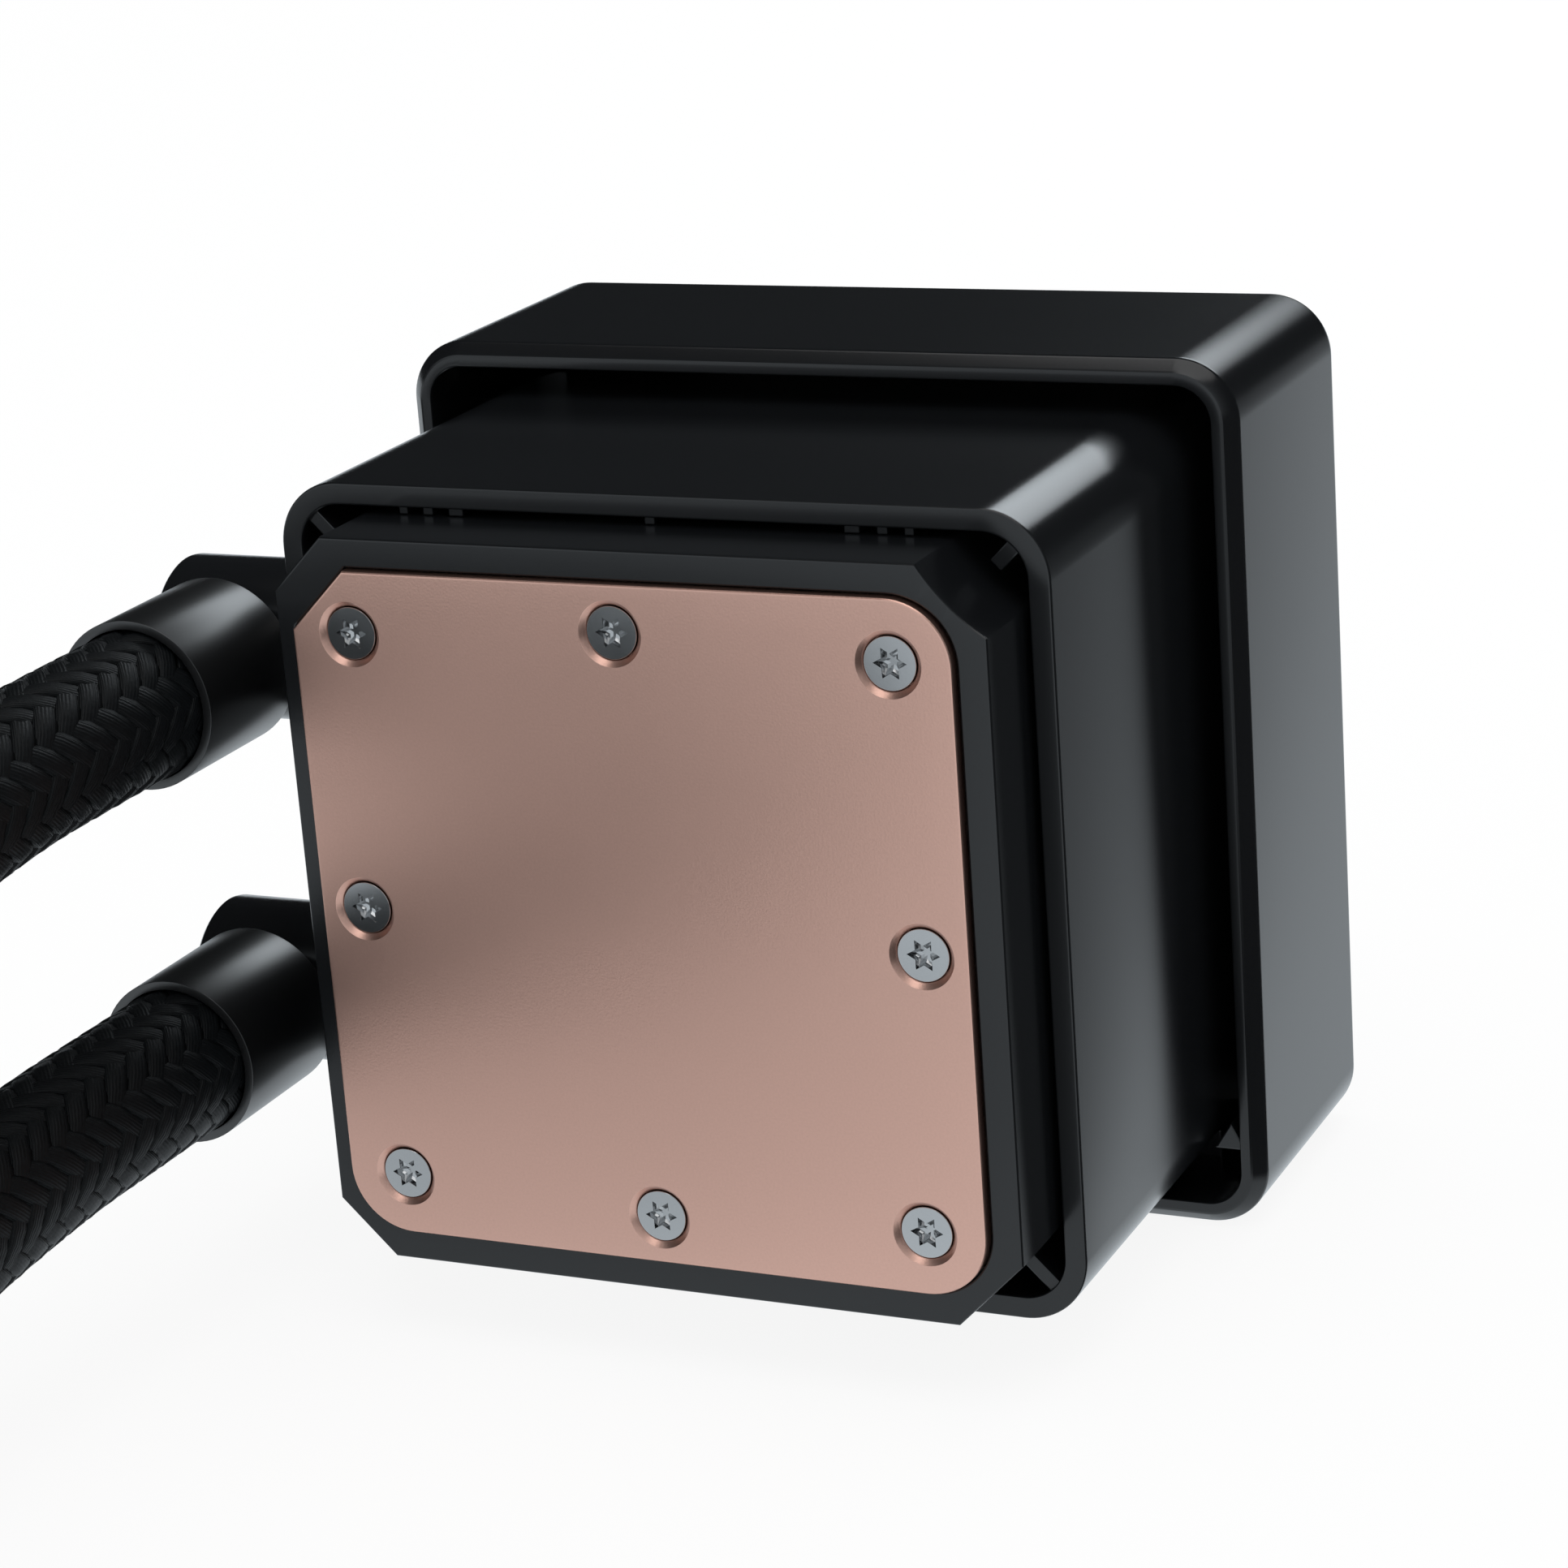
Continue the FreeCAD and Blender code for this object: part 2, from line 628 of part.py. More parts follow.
# Impeller, motor and board

def impeller():
    """A disc with curved blades in front, and a hub that carries the magnet behind."""
    body = new_body("impeller_wheel")
    front = "volute_front + impeller_gap"
    disc = sketch_on(body, "disc", "XZ_Plane", "-(%s + blade_tall)" % front)
    circle(disc, "impeller_radius")
    circle(disc, "bearing_radius")
    pad(body, disc, "disc_thickness")
    blade = sketch_on(body, "blade", "XZ_Plane", "-(%s)" % front)
    blade_outline(blade)
    first = pad(body, blade, "blade_tall + 0.2")
    wheel = body.newObject("PartDesign::PolarPattern", "blades")
    wheel.Originals = [first]
    wheel.Axis = (blade, ["N_Axis"])
    wheel.Angle = 360
    wheel.Occurrences = 6
    body.Tip = wheel
    hub = sketch_on(body, "hub", "XZ_Plane", "-" + disc_back())
    circle(hub, "hub_radius")
    circle(hub, "bearing_radius")
    pad(body, hub, "%s - %s" % (rotor_end(), disc_back()))
    node(body, "impeller")


def blade_outline(sketch):
    """One backward-curved blade between two arcs that share their end points."""
    inner, outer = size("eye_radius"), size("impeller_radius - 0.3")
    thick = size("blade_thickness")
    lean = math.radians(38)
    start = Vector(inner, 0, 0)
    finish = Vector(outer * math.cos(lean), outer * math.sin(lean), 0)
    along = (finish - start).normalize()
    across = Vector(-along.y, along.x, 0)
    middle = (start + finish) / 2
    bow = 1.3
    corners = [start, finish, finish + across * thick, start + across * thick]
    for a, b in ((0, 1), (2, 3)):
        lift = across * (bow + (thick if a == 2 else 0))
        sketch.addGeometry(Part.Arc(corners[a], middle + lift, corners[b]))
    sketch.addGeometry(Part.LineSegment(corners[1], corners[2]))
    sketch.addGeometry(Part.LineSegment(corners[3], corners[0]))


def disc_back():
    return "(volute_front + impeller_gap + blade_tall + disc_thickness)"


def rotor_end():
    return "(volute_back + magnet_start + magnet_length)"


def rotor_magnet():
    y = "volute_back + magnet_start"
    outer = rod("magnet_radius", "magnet_length", ("0", y, "0"))
    inner = rod("hub_radius", "magnet_length + 2", ("0", y + " - 1", "0"))
    node(cut(outer, [inner]), "rotor_magnet")


def bearings():
    """Two sleeves in the ends of the impeller's hub."""
    pieces = []
    ends = (
        "volute_front + impeller_gap + blade_tall",
        rotor_end() + " - bearing_length",
    )
    for y in ends:
        sleeve = rod("bearing_radius", "bearing_length", ("0", y, "0"))
        pieces.append(cut(sleeve, [rod("shaft_radius + running_gap", "bearing_length + 2",
                                       ("0", y + " - 1", "0"))]))
    node(group(pieces), "sleeve_bearings")


def rotor_can():
    """The wall between water and motor: a flange over the chamber and a closed sleeve."""
    inner = "magnet_radius + can_gap"
    long = "%s + can_end_gap - volute_back" % rotor_end()
    flange = rod("stator_bore - crimp_gap", "can_flange", ("0", "volute_back", "0"))
    sleeve = rod(inner + " + can_wall", long + " + can_wall", ("0", "volute_back", "0"))
    hollow = rod(inner, long + " + 1", ("0", "volute_back - 1", "0"))
    socket = rod("shaft_radius", "can_wall * 2 + 1",
                 ("0", "volute_back + %s - 1" % long, "0"))
    ended = rod("shaft_radius + 1.2", "1.2", ("0", "volute_back + %s - 0.6" % long, "0"))
    shell = cut(fused([flange, sleeve]), [hollow])
    node(cut(fused([shell, ended]), [socket]), "rotor_can")


def shaft():
    """A fixed ceramic shaft from the bridge in the eye to the can's closed end."""
    start = "volute_front - 1"
    length = "%s + can_end_gap - volute_front + 1 + can_wall" % rotor_end()
    node(rod("shaft_radius", length, ("0", start, "0")), "shaft")


def shaft_bridge():
    """A three-armed bridge across the eye that holds the shaft's front end."""
    y = "volute_front - 2.2"
    disc = rod("shaft_radius + 1", "2", ("0", y, "0"))
    arms = []
    for angle in (90, 210, 330):
        arm = block("eye_radius", "2", "1", ("0", y, "-0.5"))
        arm.Placement = FreeCAD.Placement(
            Vector(0, size(y), 0), FreeCAD.Rotation(Vector(0, 1, 0), angle), Vector(0, 0, 0)
        )
        arms.append(arm)
    blind = rod("shaft_radius", "2", ("0", "volute_front - 1", "0"))
    edge = cut(rod("eye_radius + 1", "2.2", ("0", y, "0")), [rod("eye_radius", "3", ("0", y, "0"))])
    trimmed = cut(fused([disc] + arms), [blind, edge])
    node(trimmed, "shaft_bridge")


def stator():
    """A ring of laminated iron with poles that face the rotor can."""
    y = "volute_back + stator_start"
    face = "magnet_radius + can_gap + can_wall + 0.4"
    outer = rod("stator_bore - 0.1", "stator_length", ("0", y, "0"))
    inner = rod("stator_bore - 0.1 - stator_yoke", "stator_length + 2", ("0", y + " - 1", "0"))
    pieces = [cut(outer, [inner])]
    for i in range(int(size("pole_total"))):
        pole = block("stator_bore - 1 - (%s)" % face, "stator_length", "pole_width", ("0", y, "0"))
        turn_about_axis(pole, 360.0 * i / size("pole_total"), face, y, "-pole_width / 2")
        pieces.append(pole)
    node(fused(pieces), "stator")


def turn_about_axis(thing, angle, x, y, z):
    """Places a box at x, y, z and turns it about the pump's axis, with live formulas."""
    turn = FreeCAD.Rotation(Vector(0, 1, 0), angle)
    thing.Placement = FreeCAD.Placement(Vector(), turn)
    cos, sin = "cos(%.6f)" % angle, "sin(%.6f)" % angle
    bind(thing, "Placement.Base.x", "(%s) * %s + (%s) * %s" % (x, cos, z, sin))
    bind(thing, "Placement.Base.y", y)
    bind(thing, "Placement.Base.z", "(%s) * %s - (%s) * %s" % (z, cos, x, sin))


def stator_coils():
    """A copper winding round each pole."""
    y = "volute_back + stator_start"
    face = "magnet_radius + can_gap + can_wall + 0.8"
    long = "stator_bore - 0.7 - stator_yoke - (%s)" % face
    coils = []
    for i in range(int(size("pole_total"))):
        angle = 360.0 * i / size("pole_total")
        wide = "pole_width + coil_thickness * 0.8"
        outer = block(long, "stator_length + 1.6", wide, ("0", "0", "0"))
        turn_about_axis(outer, angle, face, y + " - 0.8", "-(%s) / 2" % wide)
        core = block(long + " + 2", "stator_length", "pole_width", ("0", "0", "0"))
        turn_about_axis(core, angle, face + " - 1", y, "-pole_width / 2")
        coils.append(cut(outer, [core]))
    node(group(coils), "stator_coils")


def circuit_board():
    y = "body_back + 1.0"
    half = "-board_side / 2"
    board = block("board_side", "board_thickness", "board_side", (half, y, half))
    chips = [
        block("9", "1.1", "9", ("-4.5", y + " + board_thickness", "-4.5")),
        block("5", "1.2", "6", ("9", y + " + board_thickness", "6")),
    ]
    node(fused([board] + chips), "circuit_board")


# Shroud, back plate and cap

def frame_spots():
    return [("%sboss_reach" % a, "%sboss_reach" % b) for a in ("", "-") for b in ("", "-")]


def shroud_back():
    return "cap_front + cap_depth - cap_floor"


def shroud():
    body = new_body("shroud_shell")
    outline = sketch_on(body, "shroud_outline", "XZ_Plane", "-shroud_front")
    square(outline, "shroud_half", "shroud_round")
    square(outline, "shroud_half - shroud_wall", "shroud_round - shroud_wall")
    pad(body, outline, "%s - shroud_front" % shroud_back())
    pieces = [body]
    for i, (x, z) in enumerate(((1, 1), (-1, 1), (-1, -1), (1, -1))):
        pieces.append(corner_rib(x, z))
        sx, sz = ("" if x > 0 else "-"), ("" if z > 0 else "-")
        pieces.append(rod("boss_radius", "boss_length",
                          (sx + "boss_reach", "body_back", sz + "boss_reach")))
        pieces.append(boss_web(x, z))
    gap = "shroud_half - shroud_wall - body_top"
    for middle, wide in POSTS:
        for side in (-1, 1):
            pieces.append(block(wide, "post_depth", gap + " + 0.5",
                                ("%s - %s / 2" % (side * middle, wide), "shroud_front + 0.3", "body_top")))
    tools = []
    for z in ("port_upper", "-port_lower"):
        opening = ("-shroud_half - 1", "port_y", z)
        tools.append(rod("barrel_radius + barrel_gap", "shroud_wall + 2", opening, "x"))
    for x, z in frame_spots():
        tools.append(rod("frame_screw_radius + hole_clearance", "boss_length + 2", (x, "body_back - 1", z)))
    node(cut(fused(pieces), tools), "shroud")


def corner_rib(side_x, side_z):
    """A diagonal web from a shroud corner to the pump body's corner cut; at the hollow it is short."""
    at_hollow = side_x > 0 and side_z > 0
    start = "body_cut_sum * 0.7071 + " + ("rib_short" if at_hollow else "crimp_gap")
    finish = "(shroud_half - shroud_round) * 1.4142 + shroud_round - shroud_wall / 2"
    web = block("%s - (%s)" % (finish, start), "body_back - shroud_front - rib_front", "rib_thickness",
                ("0", "0", "0"))
    angle = math.degrees(math.atan2(-side_z, side_x))
    turn_about_axis(web, angle, start, "shroud_front + rib_front", "-rib_thickness / 2")
    return web


def boss_web(side_x, side_z):
    """A stout web that carries a screw boss from the shroud's corner."""
    start = "boss_reach * 1.4142"
    finish = "(shroud_half - shroud_round) * 1.4142 + shroud_round - shroud_wall / 2"
    web = block("%s - %s" % (finish, start), "boss_length", "boss_radius * 1.6", ("0", "0", "0"))
    angle = math.degrees(math.atan2(-side_z, side_x))
    turn_about_axis(web, angle, start, "body_back", "-boss_radius * 0.8")
    return web


def back_plate():
    """A flat plate on the shroud's bosses; the board stands in front of it."""
    body = new_body("back_plate_blank")
    y = "body_back + boss_length"
    outline = sketch_on(body, "back_outline", "XZ_Plane", "-(%s)" % y)
    inside = "shroud_wall + back_plate_gap"
    square(outline, "shroud_half - (%s)" % inside, "shroud_round - (%s)" % inside)
    for x, z in frame_spots():
        circle(outline, "frame_screw_radius + hole_clearance", x, z)
    pad(body, outline, "back_plate_thickness")
    posts = []
    for x in ("-board_side / 2 + 3", "board_side / 2 - 3"):
        for z in ("-board_side / 2 + 3", "board_side / 2 - 3"):
            posts.append(rod("1.6", "%s - body_back - 1 - board_thickness + 0.2" % y,
                             (x, "body_back + 1 + board_thickness", z)))
    node(fused([body] + posts), "back_plate")


def frame_screws():
    """Four pan-head screws through the back plate and bosses into the pump body."""
    y = "body_back + boss_length + back_plate_thickness"
    screws = []
    for x, z in frame_spots():
        head = rod("frame_head_radius", "frame_head_tall", (x, y, z))
        shank = rod("frame_screw_radius", "boss_length + back_plate_thickness + frame_screw_grip",
                    (x, "body_back - frame_screw_grip", z))
        slot = block("2.6", "1", "0.6", (x + " - 1.3", y + " + frame_head_tall - 0.8", z + " - 0.3"))
        cross = block("0.6", "1", "2.6", (x + " - 0.3", y + " + frame_head_tall - 0.8", z + " - 1.3"))
        screws.append(cut(fused([head, shank]), [slot, cross]))
    node(group(screws), "frame_screws")


def outer_cap():
    body = new_body("cap_shell")
    outline = sketch_on(body, "cap_outline", "XZ_Plane", "-cap_front")
    square(outline, "cap_half", "cap_round")
    pad(body, outline, "cap_depth")
    hollow = sketch_on(body, "cap_hollow", "XZ_Plane", "-cap_front")
    square(hollow, "cap_half - cap_wall", "cap_round - cap_wall")
    pocket(body, hollow, "cap_depth - cap_floor")
    half = size("cap_half")
    front, rear = size("cap_front"), size("cap_front + cap_depth")

    def outside(edge):
        centre = edge.BoundBox.Center
        return max(abs(centre.x), abs(centre.z)) > half - size("cap_round")

    def front_rim(edge):
        box = edge.BoundBox
        reach = max(abs(box.XMin), abs(box.XMax), abs(box.ZMin), abs(box.ZMax))
        return lies_at(edge, "y", front) and abs(reach - half) < 1e-3

    dress(body, "Chamfer", front_rim, "cap_bevel")
    dress(body, "Fillet", lambda e: lies_at(e, "y", rear) and outside(e), "cap_rear_round")
    node(fused([body] + cap_spacers()), "outer_cap")


def cap_spacers():
    """A rib on each wall of the cap that centres it on the shroud, one near each corner."""
    gap = "cap_half - cap_wall - shroud_half"
    deep = "cap_depth - cap_floor - spacer_front + 0.5"
    y = "cap_front + spacer_front"
    low, high = "spacer_shift - spacer_width / 2", "-spacer_shift - spacer_width / 2"
    return [
        block(gap + " + 0.5", deep, "spacer_width", ("shroud_half", y, high)),
        block("spacer_width", deep, gap + " + 0.5", (high, y, "shroud_half")),
        block(gap + " + 0.5", deep, "spacer_width", ("-shroud_half - (%s) - 0.5" % gap, y, low)),
        block("spacer_width", deep, gap + " + 0.5", (low, y, "-shroud_half - (%s) - 0.5" % gap)),
    ]


# Elbows and hoses

def barb(x, y, z, forward):
    """A ridged hose barb about an axis along Y; forward is the way that it points."""
    count = int(round(size("barb_length") / size("barb_pitch")))
    core = "%s - barb_length" % y if forward < 0 else y
    pieces = [rod("barb_radius - 0.5", "barb_length", (x, core, z))]
    for i in range(count):
        offset = "barb_length - barb_pitch * %d" % (i + 1)
        start = "%s - (%s) - barb_pitch" % (y, offset) if forward < 0 else "%s + %s" % (y, offset)
        narrow, wide = "barb_radius - 0.5", "barb_radius"
        ends = (narrow, wide) if forward < 0 else (wide, narrow)
        pieces.append(cone(ends[0], ends[1], "barb_pitch", (x, start, z)))
    return pieces


def elbow(z, label):
    shoulder = "-(body_left + barrel_gap)"
    barrel = rod("barrel_radius", "barrel_end + " + shoulder, ("-barrel_end", "port_y", z), "x")
    plug = rod("plug_radius", "body_left + barrel_gap - plug_inner", (shoulder, "port_y", z), "x")
    back = "ferrule_front + ferrule_length"
    stem = rod("barb_radius + 0.6", "port_y - (%s)" % back,
               ("-ferrule_x", back, z))
    pieces = [barrel, plug, stem] + barb("-ferrule_x", back, z, -1)
    neck = cut(rod("plug_radius + 1", "clip_thickness + 0.3",
                   ("-neck_at - clip_thickness / 2 - 0.15", "port_y", z), "x"),
               [rod("neck_radius", "clip_thickness + 3", ("-neck_at - 2", "port_y", z), "x")])
    tools = [neck]
    for i in (0, 1):
        at = "-(plug_inner + 1.4 + seal_pitch * %d)" % i
        tools.append(cut(rod("plug_radius + 1", "seal_minor * 2 + 0.1",
                             (at + " - seal_minor - 0.05", "port_y", z), "x"),
                         [rod("plug_radius - seal_minor * 2", "seal_minor * 2 + 3",
                              (at + " - seal_minor - 2", "port_y", z), "x")]))
    tools.append(rod("bore_radius", "ferrule_x - plug_inner + 1", ("-ferrule_x", "port_y", z), "x"))
    tools.append(rod("bore_radius", "port_y - ferrule_front + 1", ("-ferrule_x", "ferrule_front - 1", z)))
    solid = cut(fused(pieces), tools)
    end = -size("barrel_end")
    node(soften(solid, lambda e: lies_at(e, "x", end), "barrel_edge"), label)


def ferrule(x, mouth, z, forward, label):
    """A crimped sleeve, open at its mouth and lipped at its other end."""
    start = mouth if forward < 0 else "%s - ferrule_length" % mouth
    outer = rod("ferrule_radius", "ferrule_length", (x, start, z))
    inner_start = start + " - 1" if forward < 0 else start + " + ferrule_lip"
    inner = rod("hose_radius + crimp_gap", "ferrule_length - ferrule_lip + 1", (x, inner_start, z))
    waist = rod("barb_radius + 0.65", "ferrule_length + 2", (x, start + " - 1", z))
    sleeve = cut(outer, [inner, waist])
    at = size(mouth)
    wide = size("ferrule_radius") * 2
    node(soften(sleeve, lambda e: lies_at(e, "y", at) and abs(e.BoundBox.XLength - wide) < 1e-3,
                "ferrule_edge"), label)


def elbow_seals(z, label):
    rings = [
        ring("plug_radius - seal_minor", "seal_minor",
             ("-(plug_inner + 1.4 + seal_pitch * %d)" % i, "port_y", z), "x")
        for i in (0, 1)
    ]
    node(group(rings), label)


def elbow_clips():
    """Two flat spring clips that straddle the necks of the plugs."""
    clips = []
    for z in ("port_upper", "-port_lower"):
        x = "-neck_at - clip_thickness / 2"
        sheet_metal = block("clip_thickness", "body_back - port_y + clip_half - 0.5", "clip_half * 2",
                            (x, "port_y - clip_half + 0.5", z + " - clip_half"))
        slot = block("clip_thickness + 2", "clip_half + 1", "neck_radius * 2 + barrel_gap * 2",
                     (x + " - 1", "port_y - clip_half - 1", z + " - neck_radius - barrel_gap"))
        eye = rod("neck_radius + barrel_gap", "clip_thickness + 2", (x + " - 1", "port_y", z), "x")
        clips.append(cut(sheet_metal, [slot, eye]))
    node(group(clips), "elbow_clips")


def route_path(points):
    """Straight runs joined by tangent arcs, as one wire, with its radii and its length."""
    points = [Vector(*p) for p in points]
    edges = []
    radii = []
    start = points[0]
    for before, corner, after in zip(points, points[1:], points[2:]):
        back = before - corner
        on = after - corner
        turn = math.pi - back.getAngle(on)
        reach = 0.45 * min(back.Length, on.Length)
        radii.append(reach / math.tan(turn / 2))
        back.normalize()
        on.normalize()
        first = corner + back * reach
        last = corner + on * reach
        middle = corner + (back + on).normalize() * (
            radii[-1] / math.cos(turn / 2) - radii[-1]
        )
        edges.append(Part.LineSegment(start, first).toShape())
        edges.append(Part.Arc(first, middle, last).toShape())
        start = last
    edges.append(Part.LineSegment(start, points[-1]).toShape())
    return Part.Wire(edges), radii


def hose(route, label):
    """A sleeved hose along its route, with a blind bore over the barb at each end."""
    wire, radii = route_path(route)
    radius = size("hose_radius")
    section = Part.Wire([Part.makeCircle(radius, Vector(*route[0]), Vector(0, 1, 0))])
    tube = wire.makePipeShell([section], True, False)
    if tube.Volume < 0:
        tube.reverse()
    expected = math.pi * radius ** 2 * wire.Length
    print(label, "length %.1f mm" % wire.Length, "smallest radius %.1f" % min(radii),
          "radii", " ".join("%.0f" % r for r in radii))
    print(label, "volume over section times length: %.4f" % (tube.Volume / expected))
    bore = size("barb_radius + crimp_gap")
    deep = size("barb_length + 0.4")
    for point, way in ((route[0], -1), (route[-1], 1)):
        away = Vector(*point) + Vector(0, 0.01 * -way, 0)
        if way < 0:
            hole = Part.makeCylinder(bore, deep, away, Vector(0, -1, 0))
        else:
            hole = Part.makeCylinder(bore, deep, Vector(*point) + Vector(0, 0.01, 0), Vector(0, -1, 0))
        tube = tube.cut(hole)
    thing = doc.addObject("Part::Feature", label)
    thing.Shape = tube
    thing.Placement = FreeCAD.Placement()
    node(thing, label)


# Radiator

def rad_left():
    return "(-rad_middle - rad_width / 2)"


def rad_level():
    return "(-ground + rad_thickness / 2)"


def tank(y, length, header_first, label):
    """A folded and soldered tank with a slot in its header for each flat tube."""
    outer = block("rad_width", length, "rad_thickness", (rad_left(), y, "-ground"))
    wall = "tank_wall"
    inner = block("rad_width - 2 * tank_wall", "%s - 2 * tank_wall" % length,
                  "rad_thickness - 2 * tank_wall",
                  (rad_left() + " + " + wall, "%s + tank_wall" % y, "-ground + tank_wall"))
    rounded = soften(outer, lambda e: e.BoundBox.YLength < 0.01 and e.BoundBox.ZLength < 0.01, "tank_round")
    slots = []
    header = y if header_first else "%s + %s - tank_wall" % (y, length)
    for x in tube_spots():
        at = (x + " - crimp_gap", header + " - 1", "%s - tube_depth / 2 - crimp_gap" % rad_level())
        slots.append(block("tube_thickness + crimp_gap * 2", "tank_wall + 2",
                           "tube_depth + crimp_gap * 2", at))
    tools = [inner] + slots
    if not header_first:
        for x in connection_spots():
            tools.append(rod("barb_radius + crimp_gap", "tank_wall + 2", (x, "-rad_front - 1", rad_level())))
        tools.append(rod("plug_head - 1.2", "tank_wall + 1",
                         ("-rad_middle", "-rad_front - 0.5", rad_level())))
    node(cut(rounded, tools), label)


def connection_spots():
    """X of the two hose connections, the upper hose's first."""
    return ["-rad_middle + barb_spacing / 2", "-rad_middle - barb_spacing / 2"]


def tank_connections():
    """Two collars with a barb in front and a spigot that is brazed into the tank's wall."""
    pieces = []
    for x in connection_spots():
        face = "(-rad_front - collar_length)"
        collar = rod("collar_radius", "collar_length", (x, face, rad_level()))
        spigot = rod("barb_radius", "collar_length + tank_wall + 0.5", (x, face, rad_level()))
        way = rod("bore_radius", "barb_length + collar_length + tank_wall + 3",
                  (x, face + " - barb_length - 1", rad_level()))
        pieces.append(cut(fused([collar, spigot] + barb(x, face, rad_level(), -1)), [way]))
    node(group(pieces), "tank_connections")


def tube_gap():
    """Width of a fin strip between two flat tubes."""
    return "((rad_width - 2 * side_wall - tube_total * tube_thickness) / (tube_total + 1))"


def tube_spots():
    """Left side of each flat tube as a formula."""
    first = rad_left() + " + side_wall + " + tube_gap()
    return [
        "%s + %d * (tube_thickness + %s)" % (first, i, tube_gap())
        for i in range(int(size("tube_total")))
    ]


def flat_tubes():
    tubes = []
    low = "-rad_front + tank_front_length - tube_entry"
    long = "rad_length - tank_front_length - tank_rear_length + 2 * tube_entry"
    for x in tube_spots():
        outer = block("tube_thickness", long, "tube_depth", (x, low, "%s - tube_depth / 2" % rad_level()))
        inner = block("tube_thickness - 2 * tube_wall", long + " + 2", "tube_depth - 2 * tube_wall",
                      (x + " + tube_wall", low + " - 1", "%s - tube_depth / 2 + tube_wall" % rad_level()))
        tubes.append(cut(outer, [inner]))
    node(group(tubes), "flat_tubes")


def fin_strips():
    """Folded strips of thin sheet that fill the rows between the flat tubes."""
    wide = size(tube_gap())
    pitch = size("tube_thickness") + wide
    left = size(rad_left() + " + side_wall")
    start = size("-rad_front + tank_front_length + 0.6")
    finish = size("-rad_front + rad_length - tank_rear_length - 0.6")
    folds = int(size("fold_total"))
    thick = size("fold_thickness")
    step = (finish - start) / folds
    low = size(rad_level() + " - tube_depth / 2")
    deep = size("tube_depth")
    gap = size("crimp_gap")
    strips = []
    for row in range(int(size("tube_total")) + 1):
        x = left + row * pitch
        outline = folded(x + gap, x + wide - gap, start, step, folds, thick)
        outline = [Vector(px, py, low) for px, py in outline]
        strips.append(Part.Face(Part.makePolygon(outline + outline[:1])).extrude(Vector(0, 0, deep)))
    thing = doc.addObject("Part::Feature", "fin_strips")
    thing.Shape = Part.makeCompound(strips)
    thing.Placement = FreeCAD.Placement()
    node(thing, "fin_strips")


def folded(low, high, start, step, folds, thick):
    """Outline of a zigzag strip of one thickness, cut off level at its tips."""
    slant = thick / 2 * math.hypot(high - low, step) / (high - low)
    inset = slant * (high - low) / step
    upper = [(low, start - slant)]
    lower = [(low, start + slant)]
    for i in range(1, folds):
        y = start + step * i
        if i % 2:
            upper += [(high, y - slant), (high, y + slant)]
            lower.append((high - inset, y))
        else:
            upper.append((low + inset, y))
            lower += [(low, y - slant), (low, y + slant)]
    y = start + step * folds
    end, sign = (high, -1) if folds % 2 else (low, 1)
    upper.append((end, y + sign * slant))
    lower.append((end, y - sign * slant))
    return upper + lower[::-1]


def side_channel(side, label):
    """A U-shaped channel beside the core with fan screw holes in both flanges."""
    low = "-rad_front + tank_front_length"
    long = "rad_length - tank_front_length - tank_rear_length"
    edge = "-rad_middle - rad_width / 2" if side < 0 else "-rad_middle + rad_width / 2 - side_wall"
    flange_x = "-rad_middle - rad_width / 2" if side < 0 else "-rad_middle + rad_width / 2 - side_flange"
    pieces = [
        block("side_wall", long, "rad_thickness", (edge, low, "-ground")),
        block("side_flange", long, "side_wall", (flange_x, low, "-ground")),
        block("side_flange", long, "side_wall", (flange_x, low, "-ground + rad_thickness - side_wall")),
    ]
    middle = "-rad_middle + %d * (rad_width / 2 - fan_side)" % side
    holes = [
        rod("fan_hole", "rad_thickness + 2", (middle, along, "-ground - 1"), "z")
        for along in (low + " + fan_end", "%s + %s - fan_end" % (low, long))
    ]
    node(cut(fused(pieces), holes), label)


def filling_screw():
    x, z = "-rad_middle", rad_level()
    head = rod("plug_head", "plug_tall", (x, "-rad_front - plug_tall", z))
    shank = rod("plug_head - 1.25", "tank_wall", (x, "-rad_front", z))
    slot = block("plug_head * 1.4", "0.8", "0.9",
                 (x + " - plug_head * 0.7", "-rad_front - plug_tall - 0.2", z + " - 0.45"))
    node(cut(fused([head, shank]), [slot]), "filling_screw")


cold_plate()
plate_screws()
plate_seal()
jet_plate()
pump_body()
impeller()
rotor_magnet()
bearings()
rotor_can()
shaft()
shaft_bridge()
stator()
stator_coils()
circuit_board()
shroud()
back_plate()
frame_screws()
outer_cap()
for height, name in (("port_upper", "upper"), ("-port_lower", "lower")):
    elbow(height, "elbow_" + name)
    elbow_seals(height, "elbow_seals_" + name)
    ferrule("-ferrule_x", "ferrule_front", height, -1, "ferrule_" + name)
elbow_clips()
hose(UPPER_ROUTE, "hose_upper")
hose(LOWER_ROUTE, "hose_lower")
tank("-rad_front", "tank_front_length", False, "tank_front")
tank_connections()
tank("(-rad_front + rad_length - tank_rear_length)", "tank_rear_length", True, "tank_rear")
flat_tubes()
fin_strips()
side_channel(-1, "side_channel_left")
side_channel(1, "side_channel_right")
for side, name in ((1, "upper"), (-1, "lower")):
    ferrule("-rad_middle + %d * barb_spacing / 2" % side, "-rad_front - collar_length - ferrule_length",
            rad_level(), -1, "tank_ferrule_" + name)
filling_screw()

